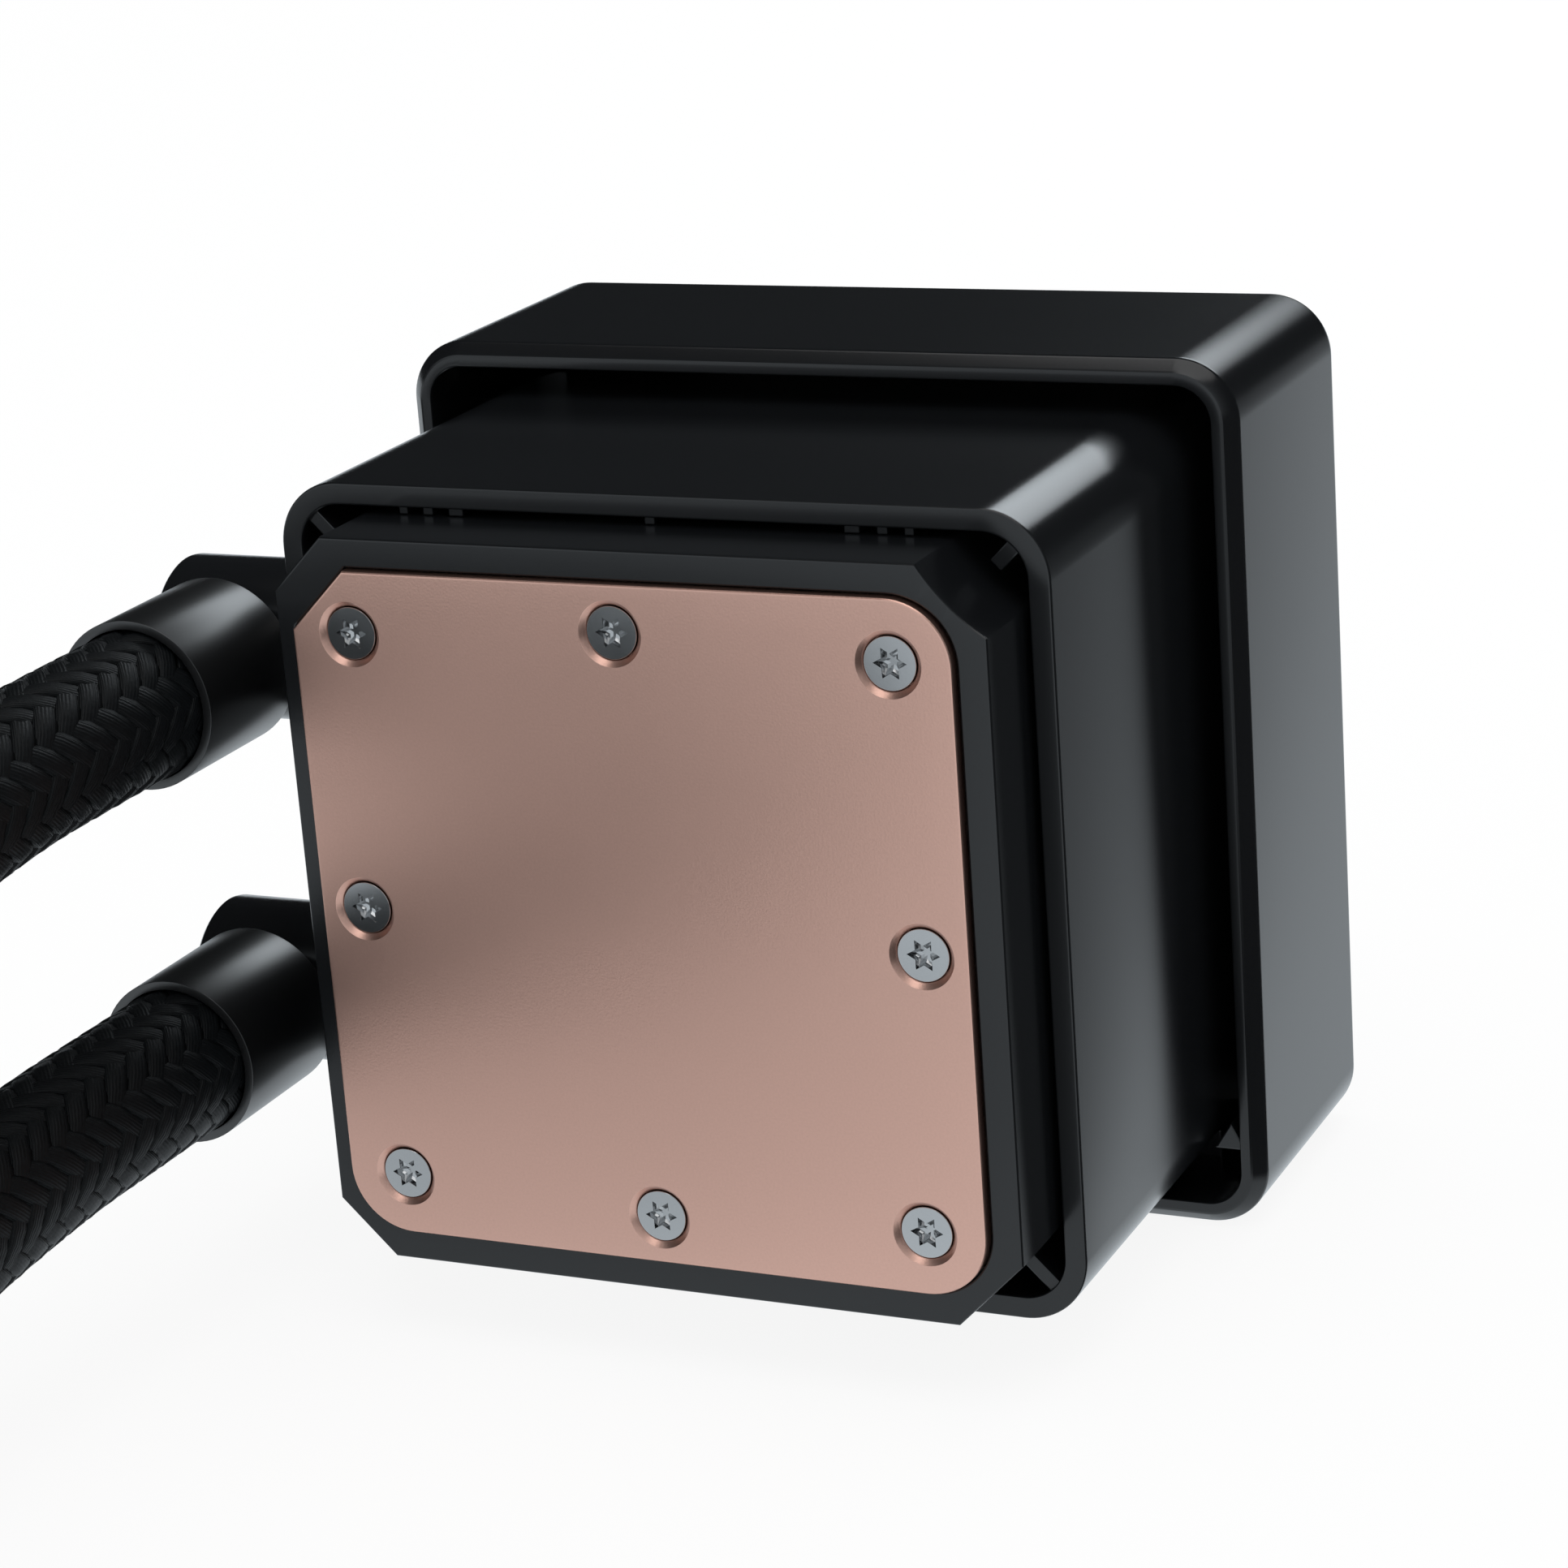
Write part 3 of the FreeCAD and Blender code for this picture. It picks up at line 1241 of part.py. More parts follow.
doc.recompute()
failed = [thing.Name for thing in doc.Objects if "Invalid" in thing.State or "Error" in thing.State]
if failed:
    raise RuntimeError("features failed: " + ", ".join(failed))
for thing in nodes:
    if thing.Shape.isNull() or not thing.Shape.isValid() or thing.Shape.Volume <= 0:
        raise RuntimeError("bad shape: " + thing.Label)
os.makedirs("parts", exist_ok=True)
for thing in nodes:
    thing.Shape.exportStep(os.path.join("parts", thing.Label + ".step"))
    print(thing.Label, len(thing.Shape.Solids), "solids, volume %.1f" % thing.Shape.Volume)
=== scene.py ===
"""Builds a closed-loop liquid cooler: a pump head with a copper cold plate, two sleeved hoses and a radiator."""

import math

import bmesh
import bpy
from bpy.props import FloatProperty, FloatVectorProperty, IntProperty, PointerProperty
from bpy.types import Operator, Panel, PropertyGroup
from mathutils import Matrix, Vector


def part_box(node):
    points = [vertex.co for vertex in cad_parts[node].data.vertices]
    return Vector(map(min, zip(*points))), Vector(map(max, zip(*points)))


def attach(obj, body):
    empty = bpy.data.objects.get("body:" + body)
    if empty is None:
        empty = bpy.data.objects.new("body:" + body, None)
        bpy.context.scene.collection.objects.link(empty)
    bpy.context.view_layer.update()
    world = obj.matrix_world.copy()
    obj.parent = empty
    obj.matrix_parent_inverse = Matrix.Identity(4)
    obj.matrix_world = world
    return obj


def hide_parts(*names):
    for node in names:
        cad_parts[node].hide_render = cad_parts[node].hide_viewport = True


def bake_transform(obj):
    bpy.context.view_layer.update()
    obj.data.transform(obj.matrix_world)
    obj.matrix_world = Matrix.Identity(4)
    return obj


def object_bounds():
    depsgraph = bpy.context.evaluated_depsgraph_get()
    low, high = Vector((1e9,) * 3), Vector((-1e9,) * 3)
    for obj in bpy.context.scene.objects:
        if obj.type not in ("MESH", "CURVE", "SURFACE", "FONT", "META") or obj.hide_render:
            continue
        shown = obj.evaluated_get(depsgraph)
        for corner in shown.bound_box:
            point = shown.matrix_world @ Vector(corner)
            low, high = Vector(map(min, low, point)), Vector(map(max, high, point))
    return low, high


bl_info = {
    "name": "Liquid Cooler",
    "version": (1, 0, 0),
    "blender": (4, 5, 0),
    "location": "3D View > Sidebar > Cooler",
    "description": "Builds a pump head with a cold plate, two sleeved hoses and a radiator",
    "category": "Add Mesh",
}

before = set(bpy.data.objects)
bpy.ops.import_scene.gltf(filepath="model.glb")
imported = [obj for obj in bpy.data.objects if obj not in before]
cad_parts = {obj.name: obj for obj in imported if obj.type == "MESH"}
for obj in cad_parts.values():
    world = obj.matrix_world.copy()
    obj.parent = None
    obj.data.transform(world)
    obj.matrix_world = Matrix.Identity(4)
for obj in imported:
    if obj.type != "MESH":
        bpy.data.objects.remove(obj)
CAD_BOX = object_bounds()
MM = 0.001
SHARP = math.radians(14)  # edges sharper than this stay hard in the shading
PLATE_BACK = 3.0 * MM
SCREW_SEAT = 1.65  # millimetres behind the plate's face
BODY_CUT = 55.7 * MM  # the corner cuts of the pump body: the sum of X and Z on them
ELBOW_X, PLUG_Y = -0.0453, 0.023
TANK_PORTS = {"upper": -0.2, "lower": -0.23}

# The hoses' routes from the barb in each elbow to the barb on the radiator, in metres.
ROUTES = {
    "upper": (
        (-0.0453, 0.01495, 0.0150), (-0.0453, -0.0039, 0.0150), (-0.0472, -0.0177, 0.0139),
        (-0.0501, -0.0419, 0.0083), (-0.0510, -0.0745, -0.0092), (-0.0485, -0.1047, -0.0243),
        (-0.0569, -0.1371, -0.0306), (-0.0785, -0.1640, -0.0310), (-0.1119, -0.1794, -0.0310),
        (-0.1498, -0.1772, -0.0306), (-0.1818, -0.1571, -0.0268), (-0.2000, -0.1240, -0.0240),
        (-0.2000, -0.08605, -0.0240),
    ),
    "lower": (
        (-0.0453, 0.01495, -0.0162), (-0.0453, -0.0039, -0.0162), (-0.0471, -0.0177, -0.0172),
        (-0.0479, -0.0426, -0.0203), (-0.0423, -0.0746, -0.0267), (-0.0369, -0.1045, -0.0307),
        (-0.0415, -0.1373, -0.0310), (-0.0629, -0.1706, -0.0309), (-0.1024, -0.1934, -0.0308),
        (-0.1729, -0.1929, -0.0310), (-0.2094, -0.1686, -0.0292), (-0.2300, -0.1297, -0.0240),
        (-0.2300, -0.08605, -0.0240),
    ),
}
PORT_LEVEL = {"upper": 0.0150, "lower": -0.0162}


class HeadSizes(PropertyGroup):
    """Sizes of the pump head."""

    plate_half: FloatProperty(
        name="Plate half side", description="Half of the cold plate across its flats",
        default=0.028, min=0.02, max=0.04, unit="LENGTH")
    plate_round: FloatProperty(
        name="Plate corner", description="Radius of three plate corners",
        default=0.0053, min=0.001, max=0.01, unit="LENGTH")
    plate_cut: FloatProperty(
        name="Plate marked corner", description="Straight cut at the upper left plate corner",
        default=0.0049, min=0.001, max=0.01, unit="LENGTH")
    screw_corner: FloatProperty(
        name="Corner screws", description="Corner screws from the middle, across and up",
        default=0.0229, min=0.01, max=0.03, unit="LENGTH")
    screw_middle: FloatProperty(
        name="Side screws", description="Screws at the middle of each side, from the plate's middle",
        default=0.0241, min=0.01, max=0.03, unit="LENGTH")
    shroud_round: FloatProperty(
        name="Shroud corner", description="Outer corner radius of the shroud",
        default=0.0055, min=0.001, max=0.01, unit="LENGTH")
    cap_round: FloatProperty(
        name="Cap corner", description="Outer corner radius of the outer cap",
        default=0.0052, min=0.001, max=0.01, unit="LENGTH")
    ease: FloatProperty(
        name="Edge ease", description="Small rounding on moulded edges",
        default=0.00022, min=0.00005, max=0.001, unit="LENGTH")


class HoseSizes(PropertyGroup):
    """Sizes of the braided sleeve on both hoses."""

    radius: FloatProperty(
        name="Hose radius", description="Outside radius of the sleeve",
        default=0.0064, min=0.003, max=0.01, unit="LENGTH")
    lay: FloatProperty(
        name="Lay", description="Length along the hose in which a yarn goes round once",
        default=0.0352, min=0.01, max=0.1, unit="LENGTH")
    yarns: IntProperty(
        name="Yarns", description="Number of yarns in each direction", default=14, min=4, max=32)
    yarn_width: FloatProperty(
        name="Yarn width", description="Width of one flat yarn",
        default=0.00215, min=0.0005, max=0.005, unit="LENGTH")
    yarn_height: FloatProperty(
        name="Yarn height", description="Thickness of one flat yarn",
        default=0.0005, min=0.0001, max=0.002, unit="LENGTH")
    lift: FloatProperty(
        name="Lift", description="How far a yarn rises and dips as it crosses the others",
        default=0.00014, min=0.0, max=0.001, unit="LENGTH")


class Finishes(PropertyGroup):
    """Colours of the cooler's parts."""

    copper: FloatVectorProperty(
        name="Copper", description="Cold plate", subtype="COLOR", min=0, max=1,
        default=(0.65, 0.393, 0.318))
    plastic: FloatVectorProperty(
        name="Plastic", description="Pump body, shroud, cap and elbows", subtype="COLOR", min=0, max=1,
        default=(0.006, 0.0067, 0.0077))
    ferrule: FloatVectorProperty(
        name="Ferrules", description="Crimped sleeves on the hoses", subtype="COLOR", min=0, max=1,
        default=(0.0055, 0.0057, 0.0062))
    yarn: FloatVectorProperty(
        name="Sleeve yarn", description="Braided sleeve", subtype="COLOR", min=0, max=1,
        default=(0.0042, 0.0051, 0.0058))
    steel: FloatVectorProperty(
        name="Steel", description="Screws", subtype="COLOR", min=0, max=1, default=(0.42, 0.425, 0.43))
    radiator: FloatVectorProperty(
        name="Radiator paint", description="Radiator tanks, fins and channels", subtype="COLOR", min=0, max=1,
        default=(0.016, 0.0165, 0.017))


class Studio(PropertyGroup):
    """Settings of the stage."""

    floor: FloatVectorProperty(
        name="Floor", description="Colour of the floor", subtype="COLOR", min=0, max=1,
        default=(0.95, 0.95, 0.95))
    ambient: FloatProperty(
        name="Ambient", description="Strength of the surrounding light", default=0.62, min=0, max=2)
    ceiling: FloatProperty(
        name="Dark ceiling", description="How bright the room above the floor is in reflections", default=0.02,
        min=0, max=2)
    front: FloatProperty(
        name="Front wall", description="How bright the room in front is in reflections", default=0.95,
        min=0, max=2)
    key: FloatProperty(
        name="Key lamp", description="Power of the large lamp overhead", default=11.8, min=0, max=500, unit="POWER")
    rear: FloatProperty(
        name="Rear lamp", description="Power of the wide lamp behind the cooler", default=3.9, min=0, max=500,
        unit="POWER")


# Node trees

class Graph:
    """A node tree with short calls for its nodes and links."""

    def __init__(self, tree):
        self.tree = tree

    def put(self, socket, value):
        """Links a socket to another or to a node's first output, or sets its value."""
        if isinstance(value, bpy.types.Node):
            value = value.outputs[0]
        if isinstance(value, bpy.types.NodeSocket):
            self.tree.links.new(value, socket)
        elif value is not None:
            socket.default_value = value

    def node(self, kind, inputs=None, **settings):
        made = self.tree.nodes.new(kind)
        for name, value in settings.items():
            setattr(made, name, value)
        for key, value in (inputs or {}).items():
            self.put(made.inputs[key], value)
        return made

    def math(self, operation, *values):
        return self.node("ShaderNodeMath", dict(enumerate(values)), operation=operation).outputs[0]

    def times(self, first, *others):
        """The product of values, taken in their order."""
        for value in others:
            first = self.math("MULTIPLY", first, value)
        return first

    def mixed(self, factor, first, second):
        """A colour between two others."""
        made = self.node("ShaderNodeMix", {"Factor": factor, "A": (*first, 1), "B": (*second, 1)}, data_type="RGBA")
        return made.outputs["Result"]

    def vector(self, operation, first, second=None, output=0):
        inputs = {0: first, "Scale" if operation == "SCALE" else 1: second}
        return self.node("ShaderNodeVectorMath", inputs, operation=operation).outputs[output]

    def spread(self, value, low, high, start=0.0, end=1.0, kind="LINEAR"):
        """Goes from low to high while the value goes from start to end."""
        made = self.node("ShaderNodeMapRange", {"Value": value, "From Min": start, "From Max": end, "To Min": low,
                                                "To Max": high}, interpolation_type=kind)
        return made.outputs[0]


def geometry_tree(name, inputs):
    """A Geometry Nodes tree with a geometry input and output, named inputs and a finish."""
    tree = bpy.data.node_groups.new(name, "GeometryNodeTree")
    for label, kind in {"Geometry": "Geometry", **inputs, "Finish": "Material"}.items():
        tree.interface.new_socket(label, in_out="INPUT", socket_type="NodeSocket" + kind)
    tree.interface.new_socket("Geometry", in_out="OUTPUT", socket_type="NodeSocketGeometry")
    graph = Graph(tree)
    return graph, graph.node("NodeGroupInput").outputs, graph.node("NodeGroupOutput").inputs


def close_tree(graph, geometry, given, result):
    """Ends a tree: real meshes with the piece's finish."""
    real = graph.node("GeometryNodeRealizeInstances", {"Geometry": geometry})
    finish = graph.node("GeometryNodeSetMaterial", {"Geometry": real, "Material": given["Finish"]})
    graph.put(result[0], finish)
    return graph


def final_mesh(source):
    """A new mesh of what an object's modifiers make of it."""
    bpy.context.view_layer.update()
    return bpy.data.meshes.new_from_object(source.evaluated_get(bpy.context.evaluated_depsgraph_get()))


def drop(*spent):
    """Takes away objects that have served."""
    for thing in spent:
        bpy.data.objects.remove(thing)


def grow(name, source, graph, slot, values):
    """Runs a Geometry Nodes tree on an object and returns a plain mesh object with the result."""
    values["Finish"] = finish_of(slot)
    modifier = source.modifiers.new(name, "NODES")
    modifier.node_group = graph.tree
    for item in graph.tree.interface.items_tree:
        if item.in_out == "INPUT" and item.name in values:
            modifier[item.identifier] = values[item.name]
    mesh = final_mesh(source)
    mesh.name = name
    source.modifiers.remove(modifier)
    return link(name, mesh)


# Meshes

def link(name, data):
    made = bpy.data.objects.new(name, data)
    bpy.context.scene.collection.objects.link(made)
    return made


def outline(box, corners, inset=0.0, steps=14):
    """Points of a rectangle in X and Z whose corners are rounded, cut or hollowed, from the lower right round."""
    left, right, low, high = box[0] + inset, box[1] - inset, box[2] + inset, box[3] - inset
    points = []
    places = ((right, low, 1, -1), (right, high, 1, 1), (left, high, -1, 1), (left, low, -1, -1))
    for quarter, ((x, z, side_x, side_z), (form, reach)) in enumerate(zip(places, corners)):
        shrink = 1.0 if form == "round" else 0.586  # a cut at 45 degrees gets shorter more slowly
        size = max(reach - inset * shrink, 0.04 * MM)
        middle = Vector((x - side_x * size, z - side_z * size))
        first = math.radians(90 * (quarter - 1))
        count = steps if form == "round" else 1
        turns = [first + math.pi / 2 * i / count for i in range(count + 1)]
        bend = [middle + size * Vector((math.cos(a), math.sin(a))) for a in turns]
        if form == "hollow":
            start, end = bend
            half, depth = (end - start).length / 2, 0.4 * MM
            radius = (half * half + depth * depth) / (2 * depth)
            along, out = (end - start).normalized(), Vector((side_x, side_z))
            for i in range(1, steps):
                t = half * (2 * i / steps - 1)
                sink = math.sqrt(radius * radius - t * t) - (radius - depth)
                bend.insert(i, (start + end) / 2 + along * t - out * sink * math.sqrt(0.5))
        points += bend
    return points


def eased(path, ease, closed=False):
    """A run of points whose corners are rounded a little."""
    result = []
    for i, (point, size) in enumerate(zip(path, ease if isinstance(ease, (list, tuple)) else [ease] * len(path))):
        if size == 0 or (not closed and i in (0, len(path) - 1)):
            result.append(Vector(point))
            continue
        here, before, after = Vector(point), Vector(path[i - 1]), Vector(path[(i + 1) % len(path)])
        into = here + (before - here).normalized() * size
        out = here + (after - here).normalized() * size
        for t in (0.0, 0.33, 0.67, 1.0):
            result.append((1 - t) ** 2 * into + 2 * t * (1 - t) * here + t * t * out)
    return result


class Skin:
    """A closed skin that is put together ring by ring."""

    def __init__(self):
        self.bm = bmesh.new()

    def ring(self, points):
        return [self.bm.verts.new(p) for p in points]

    def level(self, points, y):
        """A ring of X and Z points at one place along Y."""
        return self.ring([(p[0], y, p[1]) for p in points])

    def frames(self, shape, path, steps=14, closed=False):
        """Walls between rings of a box and its corners, each with its inset and its place along Y."""
        return self.walls([self.level(outline(*shape, inset, steps), y) for inset, y in path], closed)

    def rounds(self, centre, profile, steps=48):
        """Walls between rings about a centre, each with its radius and its place along Y in millimetres."""
        turns = [math.tau * i / steps for i in range(steps)]
        return self.walls([
            self.level([(centre[0] + r * MM * math.cos(a), centre[1] + r * MM * math.sin(a)) for a in turns], y * MM)
            for r, y in profile])

    def wall(self, first, second):
        for i, vertex in enumerate(first):
            j = (i + 1) % len(first)
            self.bm.faces.new((vertex, second[i], second[j], first[j]))

    def walls(self, rings, closed=False):
        for pair in zip(rings, rings[1:]):
            self.wall(*pair)
        if closed:
            self.wall(rings[-1], rings[0])
        return rings

    def lid(self, *rings):
        for ring in rings:
            self.bm.faces.new(ring)

    def fill(self, *rings):
        """A flat face between an outer ring and the rings inside it."""
        edges = []
        for ring in rings:
            for i, vertex in enumerate(ring):
                pair = (vertex, ring[(i + 1) % len(ring)])
                edges.append(self.bm.edges.get(pair) or self.bm.edges.new(pair))
        bmesh.ops.triangle_fill(self.bm, edges=edges, use_beauty=True, use_dissolve=False)

    def turned(self, profile, at, axis, steps=72, closed=False):
        """A turned body: places along its axis with their radii in millimetres; a radius of 0 is a pole."""
        unit = Matrix.Identity(3)
        along, first, second = (unit[("xyz".index(axis) + i) % 3].copy() for i in range(3))
        rings = []
        for place, radius in profile:
            centre = Vector(at) + along * (place * MM)
            if radius == 0:
                rings.append(self.ring([centre]))
                continue
            turns = [math.tau * i / steps for i in range(steps)]
            rings.append(self.ring([centre + radius * MM * (first * math.cos(a) + second * math.sin(a))
                                    for a in turns]))
        pairs = list(zip(rings, rings[1:])) + ([(rings[-1], rings[0])] if closed else [])
        for a, b in pairs:
            for i in range(steps):
                j = (i + 1) % steps
                corners = [a[0]] if len(a) == 1 else [a[i], a[j]]
                corners += [b[0]] if len(b) == 1 else [b[j], b[i]]
                self.bm.faces.new(corners)
        return rings

    def bar(self, low, high, turn=None):
        """A plain bar between two corners, turned by a matrix where one is given."""
        made = bmesh.ops.create_cube(self.bm, size=1.0)["verts"]
        low, high = Vector(low), Vector(high)
        for vertex in made:
            spot = Vector([low[i] + (vertex.co[i] + 0.5) * (high[i] - low[i]) for i in range(3)])
            vertex.co = turn @ spot if turn else spot

    def done(self, name, slot):
        """The skin as an object with a slot's finish, smooth but for its sharp edges."""
        bmesh.ops.recalc_face_normals(self.bm, faces=self.bm.faces)
        for face in self.bm.faces:
            face.smooth = True
        mesh = bpy.data.meshes.new(name)
        self.bm.to_mesh(mesh)
        self.bm.free()
        mesh.set_sharp_from_angle(angle=SHARP)
        mesh.materials.append(finish_of(slot))
        return link(name, mesh)


def even_shading(piece):
    """Lets large faces set the shading of the eased edges beside them."""
    modifier = piece.modifiers.new("shading", "WEIGHTED_NORMAL")
    modifier.keep_sharp = True
    modifier.weight = 60


def seat(piece, body, node):
    """Puts a finished piece on its body in place of its CAD node."""
    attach(piece, body)
    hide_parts(node)


# Finishes

def grain_group():
    """Fine speckle and broad patches that most finishes share."""
    found = bpy.data.node_groups.get("surface_grain")
    if found:
        return found
    tree = bpy.data.node_groups.new("surface_grain", "ShaderNodeTree")
    for label, value in (("Grain Size", 0.0002), ("Patch Size", 0.02)):
        socket = tree.interface.new_socket(label, in_out="INPUT", socket_type="NodeSocketFloat")
        socket.default_value = value
    for label in ("Grain", "Patch"):
        tree.interface.new_socket(label, in_out="OUTPUT", socket_type="NodeSocketFloat")
    graph = Graph(tree)
    given, result = graph.node("NodeGroupInput").outputs, graph.node("NodeGroupOutput").inputs
    place = graph.node("ShaderNodeTexCoord").outputs["Object"]
    for label, detail in (("Grain", 2.0), ("Patch", 4.0)):
        scale = graph.math("DIVIDE", 1.0, given[label + " Size"])
        noise = graph.node("ShaderNodeTexNoise", {"Vector": place, "Scale": scale, "Detail": detail})
        graph.put(result[label], noise.outputs["Fac"])
    return tree


def grained(graph, grain, patch):
    """The shared grain at two sizes: its speckle and its patches."""
    group = graph.node("ShaderNodeGroup", {"Grain Size": grain, "Patch Size": patch}, node_tree=grain_group())
    return group.outputs["Grain"], group.outputs["Patch"]


def material(name):
    """A new material with a graph for its nodes and its surface shader."""
    made = bpy.data.materials.new(name)
    made.use_nodes = True
    graph = Graph(made.node_tree)
    return made, graph, made.node_tree.nodes["Principled BSDF"]


def tinted(graph, colour, factor, low, high):
    """A colour made darker and lighter by a factor."""
    return graph.mixed(factor, [c * low for c in colour], [min(1, c * high) for c in colour])


def plain_finish(name, colour, roughness, metallic=0.0, grain=0.00025, patch=0.02, tint=0.12, bump=6e-6,
                 wander=0.05, ior=1.5):
    """A finish with fine grain in its colour and surface and slow changes of its gloss."""
    found = bpy.data.materials.get(name)
    if found:
        return found
    made, graph, shader = material(name)
    speckle, cloud = grained(graph, grain, patch)
    mixed = graph.math("ADD", graph.times(speckle, 0.6), graph.times(cloud, 0.4))
    graph.put(shader.inputs["Base Color"], tinted(graph, colour, mixed, 1 - tint, 1 + tint))
    graph.put(shader.inputs["Roughness"], graph.spread(cloud, roughness - wander, roughness + wander))
    shader.inputs["Metallic"].default_value = metallic
    shader.inputs["IOR"].default_value = ior
    bump_node = graph.node("ShaderNodeBump", {"Height": speckle, "Strength": 1.0, "Distance": bump})
    graph.put(shader.inputs["Normal"], bump_node)
    return made


def yarn_finish(colour):
    """Braided yarn with fine filaments that wind round it."""
    found = bpy.data.materials.get("sleeve_yarn")
    if found:
        return found
    made, graph, shader = material("sleeve_yarn")
    spot = graph.node("ShaderNodeSeparateXYZ", {"Vector": graph.node("ShaderNodeUVMap", uv_map="UVMap")})
    along, around = spot.outputs["X"], spot.outputs["Y"]
    twist = graph.math("ADD", graph.times(around, 22.0), graph.times(along, 160.0))
    ridge = graph.math("SINE", graph.times(twist, math.tau))
    speckle, cloud = grained(graph, 0.0004, 0.012)
    graph.put(shader.inputs["Base Color"], tinted(graph, colour, speckle, 0.6, 1.5))
    graph.put(shader.inputs["Roughness"], graph.spread(cloud, 0.42, 0.56))
    shader.inputs["IOR"].default_value = 1.22
    height = graph.math("ADD", graph.times(ridge, 0.5), graph.times(speckle, 1.2))
    bump = graph.node("ShaderNodeBump", {"Height": height, "Strength": 0.8, "Distance": 3e-5})
    graph.put(shader.inputs["Normal"], bump)
    return made


# For each of the record's slots: the finish's name, its colour or the setting that holds it, its roughness and more.
FINISHES = {
    "copper": ("satin_copper", "copper", 0.34, dict(
        metallic=1.0, grain=0.0002, patch=0.03, tint=0.1, bump=8e-6, wander=0.03)),
    "screw_steel": ("turned_steel", "steel", 0.15, dict(
        metallic=1.0, grain=0.0003, patch=0.003, tint=0.04, bump=4e-7, wander=0.02)),
    "black_plastic": ("moulded_plastic", "plastic", 0.2, dict(
        grain=0.00028, patch=0.03, tint=0.1, bump=1.2e-6, wander=0.02, ior=1.47)),
    "crimp": ("black_crimp", "ferrule", 0.31, dict(
        grain=0.0003, patch=0.01, tint=0.1, bump=1.5e-6, wander=0.02, ior=1.75)),
    "radiator_black": ("radiator_paint", "radiator", 0.45, dict(grain=0.0005, patch=0.03, tint=0.15, bump=1e-5)),
    "seal_rubber": ("rubber", (0.02, 0.02, 0.02), 0.7, dict(grain=0.0004)),
    "white_plastic": ("white_nylon", (0.7, 0.69, 0.66), 0.45, dict(grain=0.0005, tint=0.04)),
    "magnet": ("coated_magnet", (0.05, 0.05, 0.055), 0.55, dict(metallic=0.4, grain=0.0003)),
    "ceramic": ("polished_ceramic", (0.75, 0.73, 0.68), 0.25, dict(grain=0.0003, tint=0.03)),
    "thin_steel": ("steel_sheet", (0.42, 0.42, 0.43), 0.4, dict(metallic=1.0, grain=0.0004)),
    "winding": ("enamelled_wire", (0.42, 0.16, 0.06), 0.35, dict(metallic=0.8, grain=0.0003, tint=0.3)),
    "board": ("board_lacquer", (0.02, 0.09, 0.05), 0.4, dict(grain=0.001, tint=0.2)),
}


def finish_of(slot):
    """The finish for the floor or one of the record's slots."""
    settings = bpy.context.scene.cooler_finishes
    if slot == "hose_sleeve":
        return yarn_finish(tuple(settings.yarn))
    if slot == "floor":
        return floor_finish(tuple(bpy.context.scene.cooler_studio.floor))
    name, colour, roughness, values = FINISHES[slot]
    if isinstance(colour, str):
        colour = tuple(getattr(settings, colour))
    return plain_finish(name, colour, roughness, **values)


# Pump head

def corner_forms(box, cut_sum):
    """Cuts at the pump body's corners, with the hollow at the upper right."""
    left, right, low, high = box
    legs = (right - low - cut_sum, right + high - cut_sum, high - left - cut_sum, -left - low - cut_sum)
    return tuple(zip(("cut", "hollow", "cut", "cut"), legs))


def plate_shape(sizes):
    """The plate's outline, a square with a cut at its upper left corner."""
    box, corners = square(sizes.plate_half, sizes.plate_round)
    return box, (*corners[:2], ("cut", sizes.plate_cut), corners[3])


def square(half, corner):
    """A square about the middle with four like rounded corners."""
    return (-half, half, -half, half), (("round", corner),) * 4


def screw_spots(sizes):
    a, b = sizes.screw_corner, sizes.screw_middle
    return [(-a, a), (0, b), (a, a), (-b, 0), (b, 0), (-a, -a), (0, -b), (a, -a)]


def fin_row_tree():
    """A row of like bars along X."""
    graph, given, result = geometry_tree(
        "fin_row", {"Count": "Int", "Pitch": "Float", "Bar": "Vector", "Place": "Vector"})
    step = graph.node("ShaderNodeCombineXYZ", {"X": given["Pitch"]})
    line = graph.node("GeometryNodeMeshLine", {"Count": given["Count"], "Offset": step,
                                               "Start Location": given["Place"]}, mode="OFFSET")
    bar = graph.node("GeometryNodeMeshCube", {"Size": given["Bar"]})
    row = graph.node("GeometryNodeInstanceOnPoints", {"Points": line, "Instance": bar})
    both = graph.node("GeometryNodeJoinGeometry")
    graph.put(both.inputs[0], graph.node("GeometryNodeRealizeInstances", {"Geometry": row}))
    graph.put(both.inputs[0], given["Geometry"])
    return close_tree(graph, both, given, result)


class COOLER_OT_cold_plate(Operator):
    """Makes the copper cold plate with its screw pockets and skived fins"""

    bl_idname = "cooler.cold_plate"
    bl_label = "Cold Plate"

    def execute(self, context):
        sizes = context.scene.cooler_head
        skin = Skin()
        rim = skin.frames(plate_shape(sizes), eased([(0, PLATE_BACK), (0, 0), (0.002, 0)], [0, 0.00024, 0])[:-1])
        skin.lid(rim[0])
        mouths = []
        for spot in screw_spots(sizes):
            rings = skin.rounds(spot, ((2.67, 0), (2.63, 0.03), (2.23, 0.46), (2.2, 0.52), (2.2, SCREW_SEAT)))
            skin.lid(rings[-1])
            mouths.append(rings[0])
        skin.fill(rim[-1], *mouths)
        blank = skin.done("cold_plate_blank", "copper")
        fins, pitch = 20, 1.45 * MM
        piece = grow("cold_plate_copper", blank, fin_row_tree(), "copper", {
            "Count": fins, "Pitch": pitch, "Bar": (0.45 * MM, 2.4 * MM, 28 * MM),
            "Place": (-(fins - 1) / 2 * pitch, 4.2 * MM, 0)})
        drop(blank)
        even_shading(piece)
        seat(piece, "cooler", "cold_plate")
        return {"FINISHED"}


